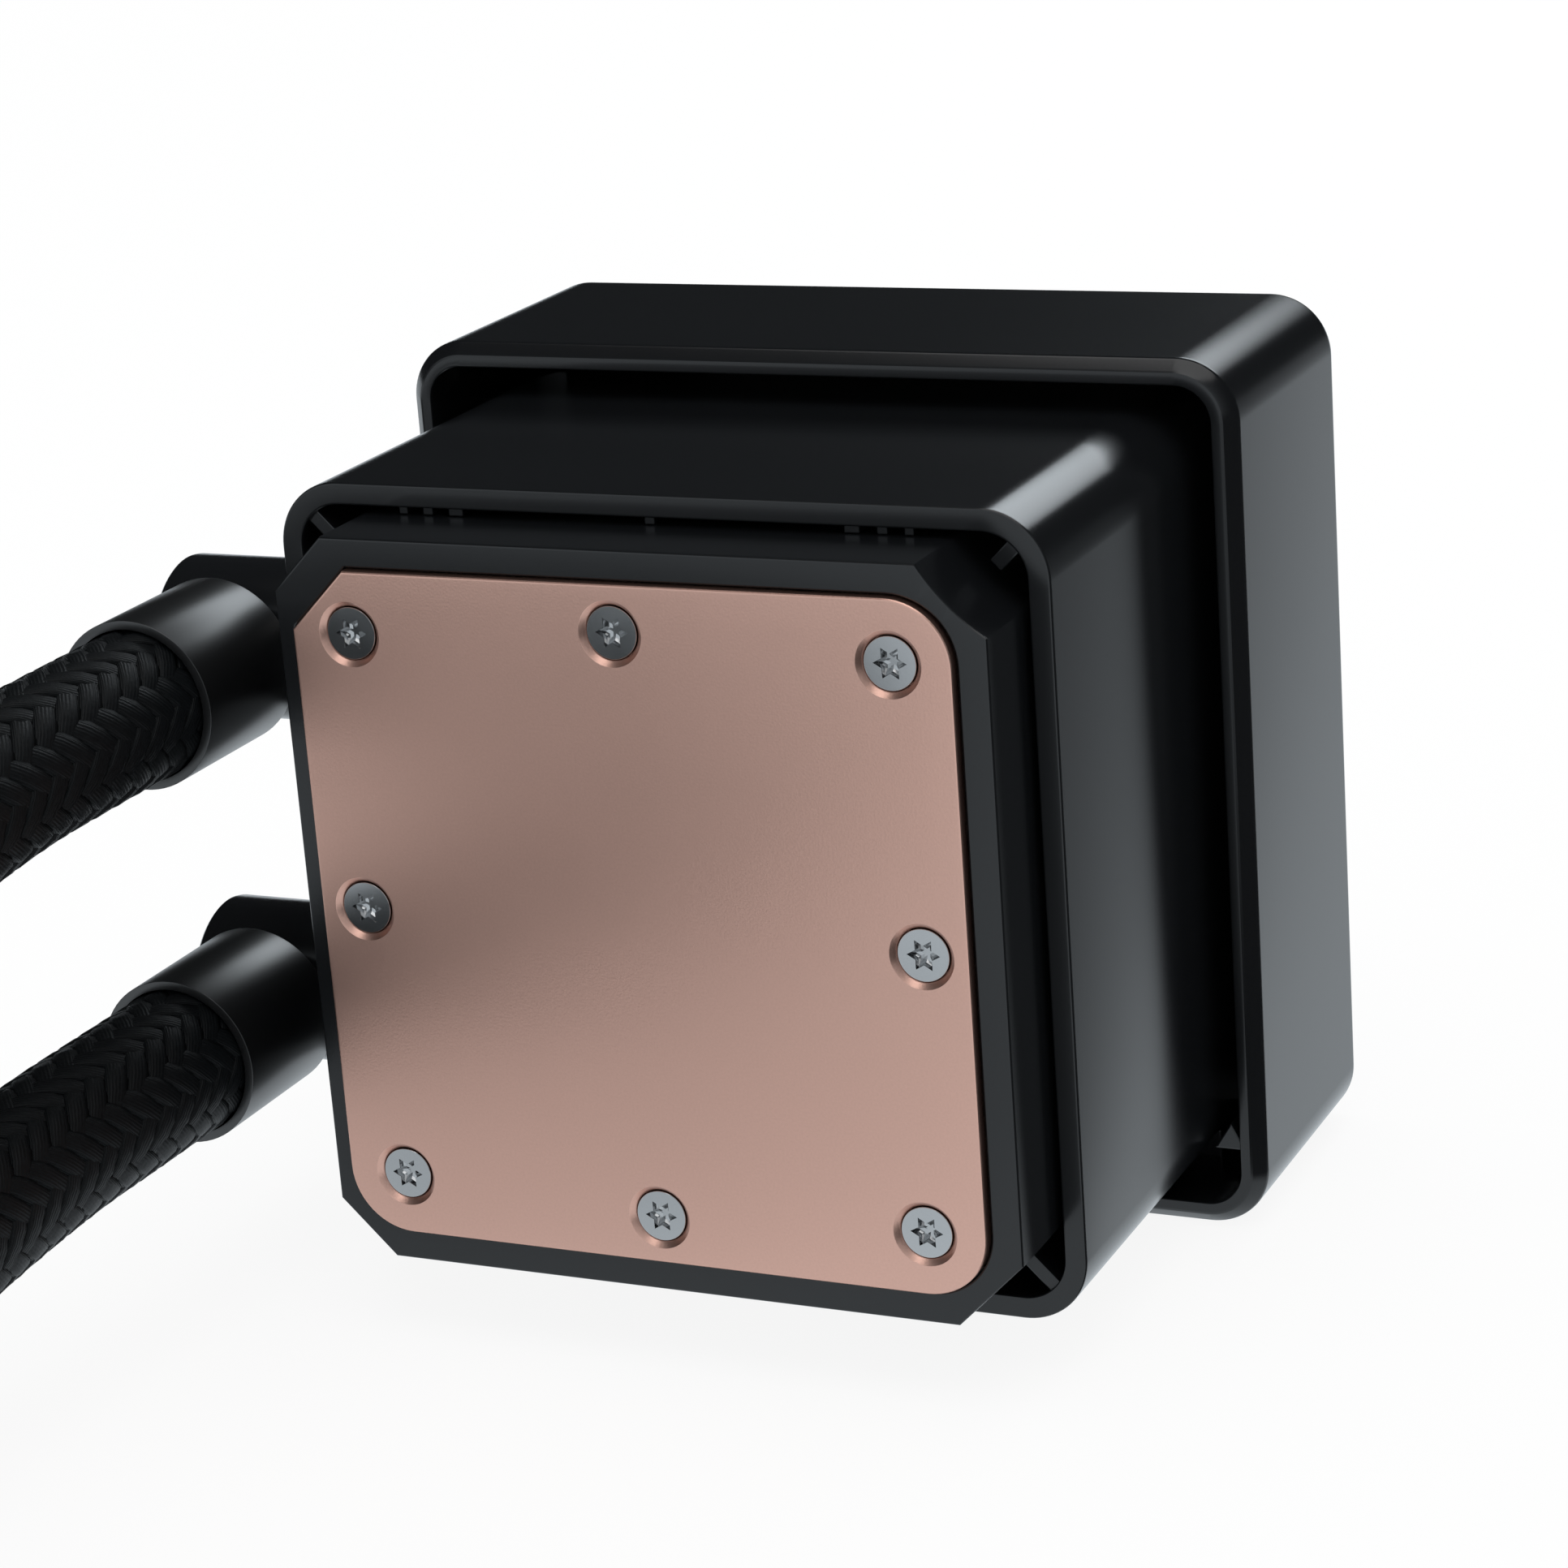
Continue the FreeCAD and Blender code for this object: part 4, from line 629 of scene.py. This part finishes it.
def star(radius, valley, steps=4):
    """Outline of a six-pointed recess with straight sides."""
    corners = []
    for i in range(12):
        size, turn = valley if i % 2 else radius, math.pi / 6 * i
        corners.append(Vector((size * math.cos(turn), size * math.sin(turn))))
    return [corner.lerp(corners[(i + 1) % 12], j / steps) for i, corner in enumerate(corners) for j in range(steps)]


def screw_mesh():
    """One plate screw, head towards the front, at the origin."""
    skin = Skin()
    face = 0.34
    rings = skin.rounds((0, 0), ((1.2, 7.65), (1.2, SCREW_SEAT), (2.13, SCREW_SEAT), (2.13, face + 0.1),
                                 (2.12, face + 0.03), (2.09, face)))
    skin.lid(rings[0])
    recess = skin.walls([skin.level([point * share for point in star(1.34 * MM, 0.76 * MM)], (face + depth) * MM)
                         for share, depth in ((1.03, 0), (1.0, 0.04), (0.95, 0.5), (0.7, 0.68), (0.35, 0.8))])
    skin.lid(recess[-1])
    skin.fill(rings[-1], recess[0])
    return skin.done("plate_screw_blank", "screw_steel")


def scatter_tree():
    """One object on each point of the given mesh."""
    graph, given, result = geometry_tree("one_on_each_point", {"Object": "Object"})
    info = graph.node("GeometryNodeObjectInfo", {"Object": given["Object"]}, transform_space="ORIGINAL")
    many = graph.node("GeometryNodeInstanceOnPoints",
                      {"Points": given["Geometry"], "Instance": info.outputs["Geometry"]})
    return close_tree(graph, many, given, result)


class COOLER_OT_plate_screws(Operator):
    """Sets eight screws with star recesses into the cold plate"""

    bl_idname = "cooler.plate_screws"
    bl_label = "Plate Screws"

    def execute(self, context):
        spots = [(x, 0, z) for x, z in screw_spots(context.scene.cooler_head)]
        points = bpy.data.meshes.new("screw_spots")
        points.from_pydata(spots, [], [])
        holder = link("screw_spots", points)
        screw = screw_mesh()
        piece = grow("plate_screws_steel", holder, scatter_tree(), "screw_steel", {"Object": screw})
        drop(screw, holder)
        even_shading(piece)
        seat(piece, "cooler", "plate_screws")
        return {"FINISHED"}


class COOLER_OT_pump_body(Operator):
    """Makes the pump body with its plate recess, water chamber and motor recess"""

    bl_idname = "cooler.pump_body"
    bl_label = "Pump Body"

    def execute(self, context):
        sizes = context.scene.cooler_head
        low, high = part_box("pump_body")
        front, back = low.y, high.y
        box = (low.x, high.x, low.z, high.z)
        skin = Skin()
        side = eased([(0.002, back), (0, back), (0, front), (0.002, front)], [0, sizes.ease, sizes.ease, 0])[1:-1]
        outer = skin.frames((box, corner_forms(box, BODY_CUT)), side)
        gap = -0.12 * MM
        mouth = skin.frames(plate_shape(sizes), (
            (gap - 0.16 * MM, front), (gap - 0.05 * MM, front + 0.05 * MM), (gap, front + 0.16 * MM),
            (gap, PLATE_BACK)))
        skin.fill(outer[-1], mouth[0])
        floor, motor = 7.8, 20
        well = skin.frames(square(19.8 * MM, 0.002), ((0, PLATE_BACK), (0, floor * MM)))
        skin.fill(mouth[-1], well[0])
        bores = skin.rounds((0, 0), ((5, floor), (5, 12), (15, 12), (15, motor), (17.5, motor), (17.5, back / MM)), 64)
        skin.fill(well[-1], bores[0])
        skin.fill(outer[0], bores[-1])
        piece = skin.done("pump_body_moulding", "black_plastic")
        even_shading(piece)
        seat(piece, "cooler", "pump_body")
        return {"FINISHED"}


def diagonal(side_x, side_z):
    """Turns a bar that lies along X into a corner's direction about the Y axis."""
    return Matrix.Rotation(math.atan2(-side_z, side_x), 4, "Y")


class COOLER_OT_shroud(Operator):
    """Makes the square shroud with its corner ribs, retaining posts and elbow openings"""

    bl_idname = "cooler.shroud"
    bl_label = "Shroud"

    def execute(self, context):
        sizes = context.scene.cooler_head
        half, wall = 33.0 * MM, 1.85 * MM
        front, back = 7.9 * MM, 62.6 * MM
        skin = Skin()
        path = eased([(0, back), (0, front), (wall, front), (wall, back)], sizes.ease, closed=True)
        skin.frames(square(half, sizes.shroud_round), path, 20, closed=True)
        piece = skin.done("shroud_moulding", "black_plastic")
        cutter = Skin()
        for level in PORT_LEVEL.values():
            cutter.turned([(-36, 0), (-36, 7.2), (-28, 7.2), (-28, 0)], (0, PLUG_Y, level), "x")
        tool = cutter.done("opening_cutter", "black_plastic")
        modifier = piece.modifiers.new("openings", "BOOLEAN")
        modifier.operation, modifier.solver, modifier.object = "DIFFERENCE", "EXACT", tool
        cut = final_mesh(piece)
        piece.modifiers.clear()
        piece.data = cut
        drop(tool)
        details = Skin()
        start, end = BODY_CUT * math.sqrt(0.5) + 0.0001, (half - 5.5 * MM) * math.sqrt(2) + 5.5 * MM - wall / 2
        seat_front, seat_back, web = 32, 36, 0.00256
        for side_x, side_z in ((1, 1), (-1, 1), (-1, -1), (1, -1)):
            turn = diagonal(side_x, side_z)
            near = start + (0.0008 if side_x > 0 and side_z > 0 else 0)  # the hollow corner keeps its rib away
            details.bar((near, front + 0.0004, -0.0006), (end, seat_front * MM, 0.0006), turn)
            details.bar((35.6 * MM, seat_front * MM, -web), (end, seat_back * MM, web), turn)
            details.turned([(seat_front, 0), (seat_front, 3.2), (seat_back, 3.2), (seat_back, 0)],
                           (side_x * 0.0252, 0, side_z * 0.0252), "y", steps=32)
        for middle, wide in ((-21.7, 0.8), (21.7, 0.8), (-19.5, 0.9), (19.5, 0.9), (-17.0, 1.3), (17.0, 1.3), (0, 0.9)):
            left, right = (middle - wide / 2) * MM, (middle + wide / 2) * MM
            details.bar((left, 8.2 * MM, 30.52 * MM), (right, 12.2 * MM, 31.6 * MM))
        join(piece, details.done("shroud_details", "black_plastic"), 0.00012)
        even_shading(piece)
        seat(piece, "cooler", "shroud")
        return {"FINISHED"}


def add_mesh(piece, mesh):
    """Adds a mesh to an object's own."""
    bm = bmesh.new()
    bm.from_mesh(piece.data)
    bm.from_mesh(mesh)
    bm.to_mesh(piece.data)
    bm.free()


def join(piece, extra, ease):
    """Eases a second object's edges and adds its mesh to the first one's."""
    bevel = extra.modifiers.new("ease", "BEVEL")
    bevel.width, bevel.segments, bevel.limit_method = ease, 2, "ANGLE"
    mesh = final_mesh(extra)
    add_mesh(piece, mesh)
    piece.data.set_sharp_from_angle(angle=SHARP)
    bpy.data.meshes.remove(mesh)
    drop(extra)


class COOLER_OT_outer_cap(Operator):
    """Makes the outer cap with its bevelled rim and spacer ribs"""

    bl_idname = "cooler.outer_cap"
    bl_label = "Outer Cap"

    def execute(self, context):
        sizes = context.scene.cooler_head
        low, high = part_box("outer_cap")
        half, wall, bevel, rear = high.x, 2.1 * MM, 1.1 * MM, 1.4 * MM
        front, back = low.y, high.y
        floor = back - 2.5 * MM
        skin = Skin()
        turns = [math.pi / 2 * i / 8 for i in range(9)]
        path = [(rear * (1 - math.sin(a)), back - rear * (1 - math.cos(a))) for a in turns]
        rim = eased([path[-1], (0, front + bevel), (bevel, front), (wall, front), (wall, floor), (wall + rear, floor)],
                    [0, 0.0003, 0.0003, sizes.ease, 0.0008, 0])
        rings = skin.frames(square(half, sizes.cap_round), path + [tuple(p) for p in rim[1:-1]], 20)
        skin.lid(rings[0], rings[-1])
        piece = skin.done("outer_cap_moulding", "black_plastic")
        details = Skin()
        inner, gap = half - wall + 0.0004, 33.02 * MM
        near, far, begin, end = front + 0.01, floor + 0.0004, 0.0273, 0.0303
        for x, z in (((gap, inner), (-end, -begin)), ((-end, -begin), (gap, inner)),
                     ((-inner, -gap), (begin, end)), ((begin, end), (-inner, -gap))):
            details.bar((x[0], near, z[0]), (x[1], far, z[1]))
        gusset = [(gap, -0.0305), (inner, -0.0305), (0.0345, -0.0281)]
        details.lid(*details.walls([details.level(gusset, y) for y in (front + 0.0006, front + 0.0045)]))
        join(piece, details.done("cap_spacers", "black_plastic"), 0.00015)
        even_shading(piece)
        seat(piece, "cooler", "outer_cap")
        return {"FINISHED"}


# Elbows and hoses

class COOLER_OT_elbows(Operator):
    """Makes the two swivel elbows and the four crimped ferrules"""

    bl_idname = "cooler.elbows"
    bl_label = "Elbows and Ferrules"

    def execute(self, context):
        for side, level in PORT_LEVEL.items():
            skin = Skin()
            profile = eased([(-52.2, 0), (-52.2, 6.9), (-30.0, 6.9), (-30.0, 5.0), (-19.5, 5.0), (-19.5, 0)],
                            [0, 0.6, 0.15, 0, 0.3, 0])
            skin.turned(profile, (0, PLUG_Y, level), "x")
            skin.turned([(12, 0), (12, 4.8), (22, 4.8), (22, 0)], (ELBOW_X, 0, level), "y")
            piece = skin.done("elbow_%s_moulding" % side, "black_plastic")
            seat(piece, "elbow_" + side, "elbow_" + side)
            piece = sleeve("ferrule_%s_crimp" % side, ELBOW_X, 0.0025, level)
            seat(piece, "elbow_" + side, "ferrule_" + side)
        for side, x in TANK_PORTS.items():
            piece = sleeve("tank_ferrule_%s_crimp" % side, x, -0.0985, -0.024)
            seat(piece, "cooler", "tank_ferrule_" + side)
        return {"FINISHED"}


def sleeve(name, x, y, z):
    """A crimped sleeve about an axis along Y from its mouth."""
    skin = Skin()
    profile = eased([(0, 6.44), (0, 7.2), (13.5, 7.2), (13.5, 4.85), (12.5, 4.85), (12.5, 6.44)],
                    [0.05, 0.06, 0.3, 0.1, 0.1, 0.1], closed=True)
    skin.turned(profile, (x, y, z), "y", closed=True)
    return skin.done(name, "crimp")


def route_curve(side):
    """The hose's line as a curve of one spline."""
    curve = bpy.data.curves.new("route_" + side, "CURVE")
    curve.dimensions = "3D"
    spline = curve.splines.new("NURBS")
    spline.points.add(len(ROUTES[side]) - 1)
    for point, place in zip(spline.points, ROUTES[side]):
        point.co = (*place, 1)
    spline.order_u = 3
    spline.use_endpoint_u = True
    spline.resolution_u = 24
    return link("route_" + side, curve)


def braid_tree():
    """Flat yarns of one direction wound round a path, each over two and under two of the others."""
    graph, given, result = geometry_tree("braid_yarns", {
        "Radius": "Float", "Lay": "Float", "Yarns": "Int", "Width": "Float", "Height": "Float", "Lift": "Float",
        "Step": "Float", "Hand": "Float", "Phase": "Float"})
    m, times = graph.math, graph.times
    path = graph.node("GeometryNodeMeshToCurve", {"Mesh": given["Geometry"]})
    length = graph.node("GeometryNodeCurveLength", {"Curve": path})
    count = graph.node("FunctionNodeFloatToInt", {0: m("DIVIDE", length, given["Step"])})
    grid = graph.node("GeometryNodeMeshGrid", {"Size X": 1.0, "Size Y": 1.0, "Vertices X": count, "Vertices Y": 7})
    line = graph.node("GeometryNodeMeshLine", {"Count": given["Yarns"], "Offset": (2.0, 0, 0)}, mode="OFFSET")
    many = graph.node("GeometryNodeInstanceOnPoints", {"Points": line, "Instance": grid})
    real = graph.node("GeometryNodeRealizeInstances", {"Geometry": many})
    place = graph.node("ShaderNodeSeparateXYZ", {"Vector": graph.node("GeometryNodeInputPosition")})
    across, up = place.outputs["X"], place.outputs["Y"]
    yarn = m("FLOOR", m("ADD", times(across, 0.5), 0.2505))
    u = m("ADD", m("SUBTRACT", across, times(yarn, 2.0)), 0.5)
    v = m("ADD", up, 0.5)
    turn = times(v, math.tau)
    slant = m("ARCTANGENT", m("DIVIDE", times(given["Radius"], math.tau), given["Lay"]))
    end = m("MINIMUM", u, m("SUBTRACT", 1.0, u))
    taper = m("MINIMUM", times(end, times(count, 0.5)), 1.0)
    aside = times(given["Width"], 0.5, m("COSINE", turn), taper)
    raised = times(given["Height"], 0.5, m("SINE", turn), taper)
    distance = times(u, length)
    turns = m("DIVIDE", distance, given["Lay"])
    along = m("SUBTRACT", distance, times(m("SINE", slant), aside, given["Hand"]))
    around = m("ADD", times(m("ADD", times(turns, given["Hand"]), m("DIVIDE", yarn, given["Yarns"])), math.tau),
               m("DIVIDE", times(m("COSINE", slant), aside), given["Radius"]))
    beat = m("SUBTRACT", m("ADD", times(yarn, 2.0), times(turns, given["Hand"], times(given["Yarns"], 2.0))),
             given["Phase"])
    wave = m("DIVIDE", m("TANH", times(m("COSINE", times(beat, math.pi / 2)), 1.7)), math.tanh(1.7))
    reach = m("ADD", m("ADD", given["Radius"], times(wave, given["Lift"])), raised)
    reached = m("MINIMUM", m("MAXIMUM", along, 0.0), length)
    sample = graph.node("GeometryNodeSampleCurve", {"Curves": path, "Length": reached}, mode="LENGTH",
                        use_all_curves=True)
    normal, tangent = sample.outputs["Normal"], sample.outputs["Tangent"]
    side = graph.vector("CROSS_PRODUCT", tangent, normal)
    outward = graph.vector("ADD", graph.vector("SCALE", normal, m("COSINE", around)),
                           graph.vector("SCALE", side, m("SINE", around)))
    spot = graph.vector("ADD", sample.outputs["Position"], graph.vector("SCALE", outward, reach))
    uv = graph.node("ShaderNodeCombineXYZ", {"X": distance, "Y": v})
    stored = graph.node("GeometryNodeStoreNamedAttribute", {"Geometry": real, "Name": "UVMap", "Value": uv},
                        data_type="FLOAT2", domain="CORNER")
    moved = graph.node("GeometryNodeSetPosition", {"Geometry": stored, "Position": spot})
    merged = graph.node("GeometryNodeMergeByDistance", {"Geometry": moved, "Distance": 4e-6})
    return close_tree(graph, merged, given, result)


def liner_tree():
    """A closed tube along a path."""
    graph, given, result = geometry_tree("tube_on_path", {"Radius": "Float"})
    path = graph.node("GeometryNodeMeshToCurve", {"Mesh": given["Geometry"]})
    ring = graph.node("GeometryNodeCurvePrimitiveCircle", {"Resolution": 24, "Radius": given["Radius"]}, mode="RADIUS")
    tube = graph.node("GeometryNodeCurveToMesh", {"Curve": path, "Profile Curve": ring, "Fill Caps": True})
    return close_tree(graph, tube, given, result)


def close_up(piece):
    """Turns every face outwards and smooths it."""
    bm = bmesh.new()
    bm.from_mesh(piece.data)
    bmesh.ops.recalc_face_normals(bm, faces=bm.faces)
    for face in bm.faces:
        face.smooth = True
    bm.to_mesh(piece.data)
    bm.free()


class COOLER_OT_hoses(Operator):
    """Makes the two hoses with their braided sleeves"""

    bl_idname = "cooler.hoses"
    bl_label = "Hoses"

    def execute(self, context):
        sizes = context.scene.cooler_hose
        braid, liner = braid_tree(), liner_tree()
        for side in ("upper", "lower"):
            curve = route_curve(side)
            path_mesh = final_mesh(curve)
            line = link("path_" + side, path_mesh)
            middle = sizes.radius - sizes.lift - sizes.yarn_height / 2
            piece, crossing = [grow("yarns", line, braid, "hose_sleeve", {
                "Radius": middle, "Lay": sizes.lay, "Yarns": sizes.yarns, "Width": sizes.yarn_width,
                "Height": sizes.yarn_height, "Lift": sizes.lift, "Step": 0.0009, "Hand": hand, "Phase": phase})
                for hand, phase in ((1.0, 3.7), (-1.0, 5.7))]
            piece.name = "hose_%s_sleeve" % side
            add_mesh(piece, crossing.data)
            drop(crossing)
            close_up(piece)
            inner = grow("hose_%s_liner" % side, line, liner, "seal_rubber", {"Radius": sizes.radius - 0.0009})
            close_up(inner)
            drop(line, curve)
            for part in (piece, inner):
                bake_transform(part)
            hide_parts("hose_" + side)
        return {"FINISHED"}


# Radiator

def fold_tree():
    """Rows of folded sheet: one fold repeated along each row."""
    graph, given, result = geometry_tree("folded_fins", {
        "Rows": "Int", "Folds": "Int", "Row Pitch": "Float", "Fold Pitch": "Float", "Place": "Vector"})
    m, times = graph.math, graph.times
    across = times(m("SUBTRACT", given["Rows"], 1.0), given["Row Pitch"])
    along = times(m("SUBTRACT", given["Folds"], 1.0), given["Fold Pitch"])
    grid = graph.node("GeometryNodeMeshGrid", {"Size X": across, "Size Y": along, "Vertices X": given["Rows"],
                                               "Vertices Y": given["Folds"]})
    shifted = graph.node("GeometryNodeTransform", {"Geometry": grid, "Translation": given["Place"]})
    many = graph.node("GeometryNodeInstanceOnPoints", {"Points": shifted, "Instance": given["Geometry"]})
    return close_tree(graph, many, given, result)


def fold_blank(width, pitch, depth, sheet):
    """One fold of a fin: out on a slant, round a small bend and back."""
    half, bend = width / 2, pitch * 0.12
    line = [(-half, -pitch / 2), (-half + bend, -pitch * 0.47), (half - bend, -pitch * 0.06), (half, 0),
            (half - bend, pitch * 0.06), (-half + bend, pitch * 0.47), (-half, pitch / 2)]
    section = [(x, y - sheet / 2) for x, y in line] + [(x, y + sheet / 2) for x, y in line[::-1]]
    skin = Skin()
    for ring in skin.walls([skin.ring([(x, y, z) for x, y in section]) for z in (-depth / 2, depth / 2)]):
        for i in range(len(line) - 1):
            skin.bm.faces.new((ring[i], ring[i + 1], ring[-2 - i], ring[-1 - i]))
    return skin.done("fin_fold_blank", "radiator_black")


class COOLER_OT_radiator(Operator):
    """Fills the radiator with rows of folded fins"""

    bl_idname = "cooler.radiator"
    bl_label = "Radiator"

    def execute(self, context):
        low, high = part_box("fin_strips")
        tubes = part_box("flat_tubes")
        rows, folds, tube, sheet = 12, 58, 2.0 * MM, 0.00014
        row_pitch = (high.x - low.x + tube + 0.0001) / rows
        pitch = (high.y - low.y) / folds
        blank = fold_blank(row_pitch - tube - 0.0001, pitch, high.z - low.z - 0.0004, sheet)
        piece = grow("radiator_fins", blank, fold_tree(), "radiator_black", {
            "Rows": rows, "Folds": folds, "Row Pitch": row_pitch, "Fold Pitch": pitch,
            "Place": ((low.x + high.x) / 2, (low.y + high.y) / 2, (tubes[0].z + tubes[1].z) / 2)})
        drop(blank)
        seat(piece, "cooler", "fin_strips")
        return {"FINISHED"}


class COOLER_OT_inside(Operator):
    """Gives every CAD part that still shows its finish"""

    bl_idname = "cooler.inside"
    bl_label = "Other Parts"

    def execute(self, context):
        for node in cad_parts.values():
            slot = node.data.materials[0].name.split(".")[0]
            node.data.materials[0] = finish_of(slot)
        return {"FINISHED"}


# Stage

def cool_reflection(graph, glossy):
    """White, and a little cooler in reflections."""
    return graph.mixed(glossy, (1, 1, 1), (0.87, 0.945, 1.0))


def floor_finish(colour):
    """A pale floor that looks white to the camera and in reflections but keeps the shadow, with painted shade in the
    glow that reflections see at the right and in front of the cold plate.
    """
    made, graph, shader = material("floor_paper")
    patches = grained(graph, 0.004, 0.6)[1]
    graph.put(shader.inputs["Base Color"], tinted(graph, colour, patches, 0.99, 1.01))
    shader.inputs["Roughness"].default_value = 0.9
    shader.inputs["Specular IOR Level"].default_value = 0.0
    rays = graph.node("ShaderNodeLightPath")
    glossy = rays.outputs["Is Glossy Ray"]
    place = graph.node("ShaderNodeTexCoord").outputs["Object"]
    spot = graph.node("ShaderNodeSeparateXYZ", {"Vector": place})
    # Painted dark reflection: the floor's glow, as reflections see it, is dimmed from one bearing of the head's right
    # side to another.
    bearing = graph.math("ARCTAN2", graph.math("SUBTRACT", spot.outputs["X"], 0.033), spot.outputs["Y"])
    enter = graph.spread(bearing, 0.0, 1.0, 0.235, 0.375, "SMOOTHSTEP")
    leave = graph.spread(bearing, 0.0, 1.0, 2.2, 2.9, "SMOOTHSTEP")
    painted_dark_reflection = graph.times(graph.math("SUBTRACT", enter, leave), 0.96)
    # Painted shadow of the head, as reflections see it: the glow is dimmed less strongly on the floor just in front of
    # the cold plate.
    near = graph.vector("DISTANCE", place, (-0.035, -0.055, -0.0376), output=1)
    painted_foot_shadow = graph.spread(near, 0.77, 1.0, 0.02, 0.06, "SMOOTHSTEP")
    level = graph.spread(glossy, 1.0, graph.times(painted_foot_shadow, graph.math("SUBTRACT", 1.0, painted_dark_reflection)))
    glow = graph.node("ShaderNodeEmission", {"Color": cool_reflection(graph, glossy), "Strength": level})
    # The camera sees the glow more fully further out, where the floor has no shadow to keep.
    direct = graph.math("MAXIMUM", rays.outputs["Is Camera Ray"], rays.outputs["Is Transmission Ray"])
    share = graph.spread(graph.vector("LENGTH", place, output=1), 0.9, 1.0, 0.4, 1.4, "SMOOTHSTEP")
    seen = graph.math("MAXIMUM", graph.times(direct, share), glossy)
    mix = graph.node("ShaderNodeMixShader", {0: seen})
    graph.put(mix.inputs[1], shader)
    graph.put(mix.inputs[2], glow)
    graph.put(made.node_tree.nodes["Material Output"].inputs["Surface"], mix)
    made.cycles.emission_sampling = "NONE"
    return made


def lamp(name, place, target, size, power, colour=(1, 1, 1)):
    """A rectangular soft lamp that faces a point."""
    data = bpy.data.lights.new(name, "AREA")
    data.shape = "RECTANGLE"
    data.size, data.size_y = size
    data.energy = power
    data.color = colour
    made = link(name, data)
    made.location = place
    made.rotation_euler = (Vector(target) - Vector(place)).to_track_quat("-Z", "Y").to_euler()


class COOLER_OT_stage(Operator):
    """Sets up the floor, the lamps, the surroundings and the camera"""

    bl_idname = "cooler.stage"
    bl_label = "Stage"

    def execute(self, context):
        studio = context.scene.cooler_studio
        skin = Skin()
        ground = CAD_BOX[0][2] - 0.0001
        skin.lid(skin.ring([(-12, -12, ground), (12, -12, ground), (12, 12, ground), (-12, 12, ground)]))
        floor = skin.done("floor", "floor")
        if floor.data.polygons[0].normal.z < 0:
            floor.data.flip_normals()
        world = bpy.data.worlds.new("surroundings")
        world.use_nodes = True
        graph = Graph(world.node_tree)
        rays = graph.node("ShaderNodeLightPath")
        sky = world.node_tree.nodes["Background"]
        glossy = rays.outputs["Is Glossy Ray"]
        graph.put(sky.inputs["Color"], cool_reflection(graph, glossy))
        way = graph.node("ShaderNodeTexCoord").outputs["Generated"]
        toward = graph.node("ShaderNodeSeparateXYZ", {"Vector": way})
        room = graph.spread(toward.outputs["Y"], studio.ceiling, studio.front, -0.3, -0.8, "SMOOTHSTEP")
        unseen = graph.spread(glossy, studio.ambient, room)
        graph.put(sky.inputs["Strength"], graph.spread(rays.outputs["Is Camera Ray"], unseen, 1.0))
        world.cycles.sampling_method = "NONE"
        context.scene.world = world
        lamp("overhead_lamp", (0.175, -0.2, 1.6), (0.075, 0, 0), (1.45, 1.6), studio.key)
        lamp("rear_lamp", (0.02, 1.3, 0.765), (0, 0.03, 0), (0.8, 0.4), studio.rear, (0.88, 0.95, 1.0))
        data = bpy.data.cameras.new("camera")
        data.lens, data.sensor_width = 97.6, 36
        data.clip_start, data.clip_end = 0.01, 60
        camera = link("camera", data)
        right, down, ahead = (Vector(v) for v in (
            (0.91065, 0.40718, -0.07018), (0.06330, -0.30533, -0.95014), (-0.40831, 0.86080, -0.30382)))
        axes = Matrix((right, -down, -ahead)).transposed().to_4x4()
        camera.matrix_world = Matrix.Translation((0.14462, -0.27597, 0.11045)) @ axes
        context.scene.camera = camera
        context.scene.view_settings.view_transform = "Standard"
        return {"FINISHED"}


class COOLER_PT_panel(Panel):
    """Lists the cooler's sizes, finishes and steps"""

    bl_label = "Liquid Cooler"
    bl_idname = "COOLER_PT_panel"
    bl_space_type = "VIEW_3D"
    bl_region_type = "UI"
    bl_category = "Cooler"

    def draw(self, context):
        for group in ("cooler_head", "cooler_hose", "cooler_finishes", "cooler_studio"):
            settings = getattr(context.scene, group)
            box = self.layout.box()
            for name in settings.__annotations__:
                box.prop(settings, name)
        for step in STEPS:
            self.layout.operator(step.bl_idname)


GROUPS = {
    "cooler_head": HeadSizes,
    "cooler_hose": HoseSizes,
    "cooler_finishes": Finishes,
    "cooler_studio": Studio,
}
STEPS = (COOLER_OT_stage, COOLER_OT_hoses, COOLER_OT_cold_plate, COOLER_OT_plate_screws, COOLER_OT_pump_body,
         COOLER_OT_shroud, COOLER_OT_outer_cap, COOLER_OT_elbows, COOLER_OT_radiator, COOLER_OT_inside)
CLASSES = (*GROUPS.values(), *STEPS, COOLER_PT_panel)


def register():
    for cls in CLASSES:
        bpy.utils.register_class(cls)
    for name, cls in GROUPS.items():
        setattr(bpy.types.Scene, name, PointerProperty(type=cls))


def unregister():
    for name in GROUPS:
        delattr(bpy.types.Scene, name)
    for cls in reversed(CLASSES):
        bpy.utils.unregister_class(cls)


def main():
    register()
    bpy.ops.cooler.stage()
    bpy.ops.cooler.hoses()
    bpy.ops.cooler.cold_plate()
    bpy.ops.cooler.plate_screws()
    bpy.ops.cooler.pump_body()
    bpy.ops.cooler.shroud()
    bpy.ops.cooler.outer_cap()
    bpy.ops.cooler.elbows()
    bpy.ops.cooler.radiator()
    bpy.ops.cooler.inside()


if __name__ == "__main__":
    main()
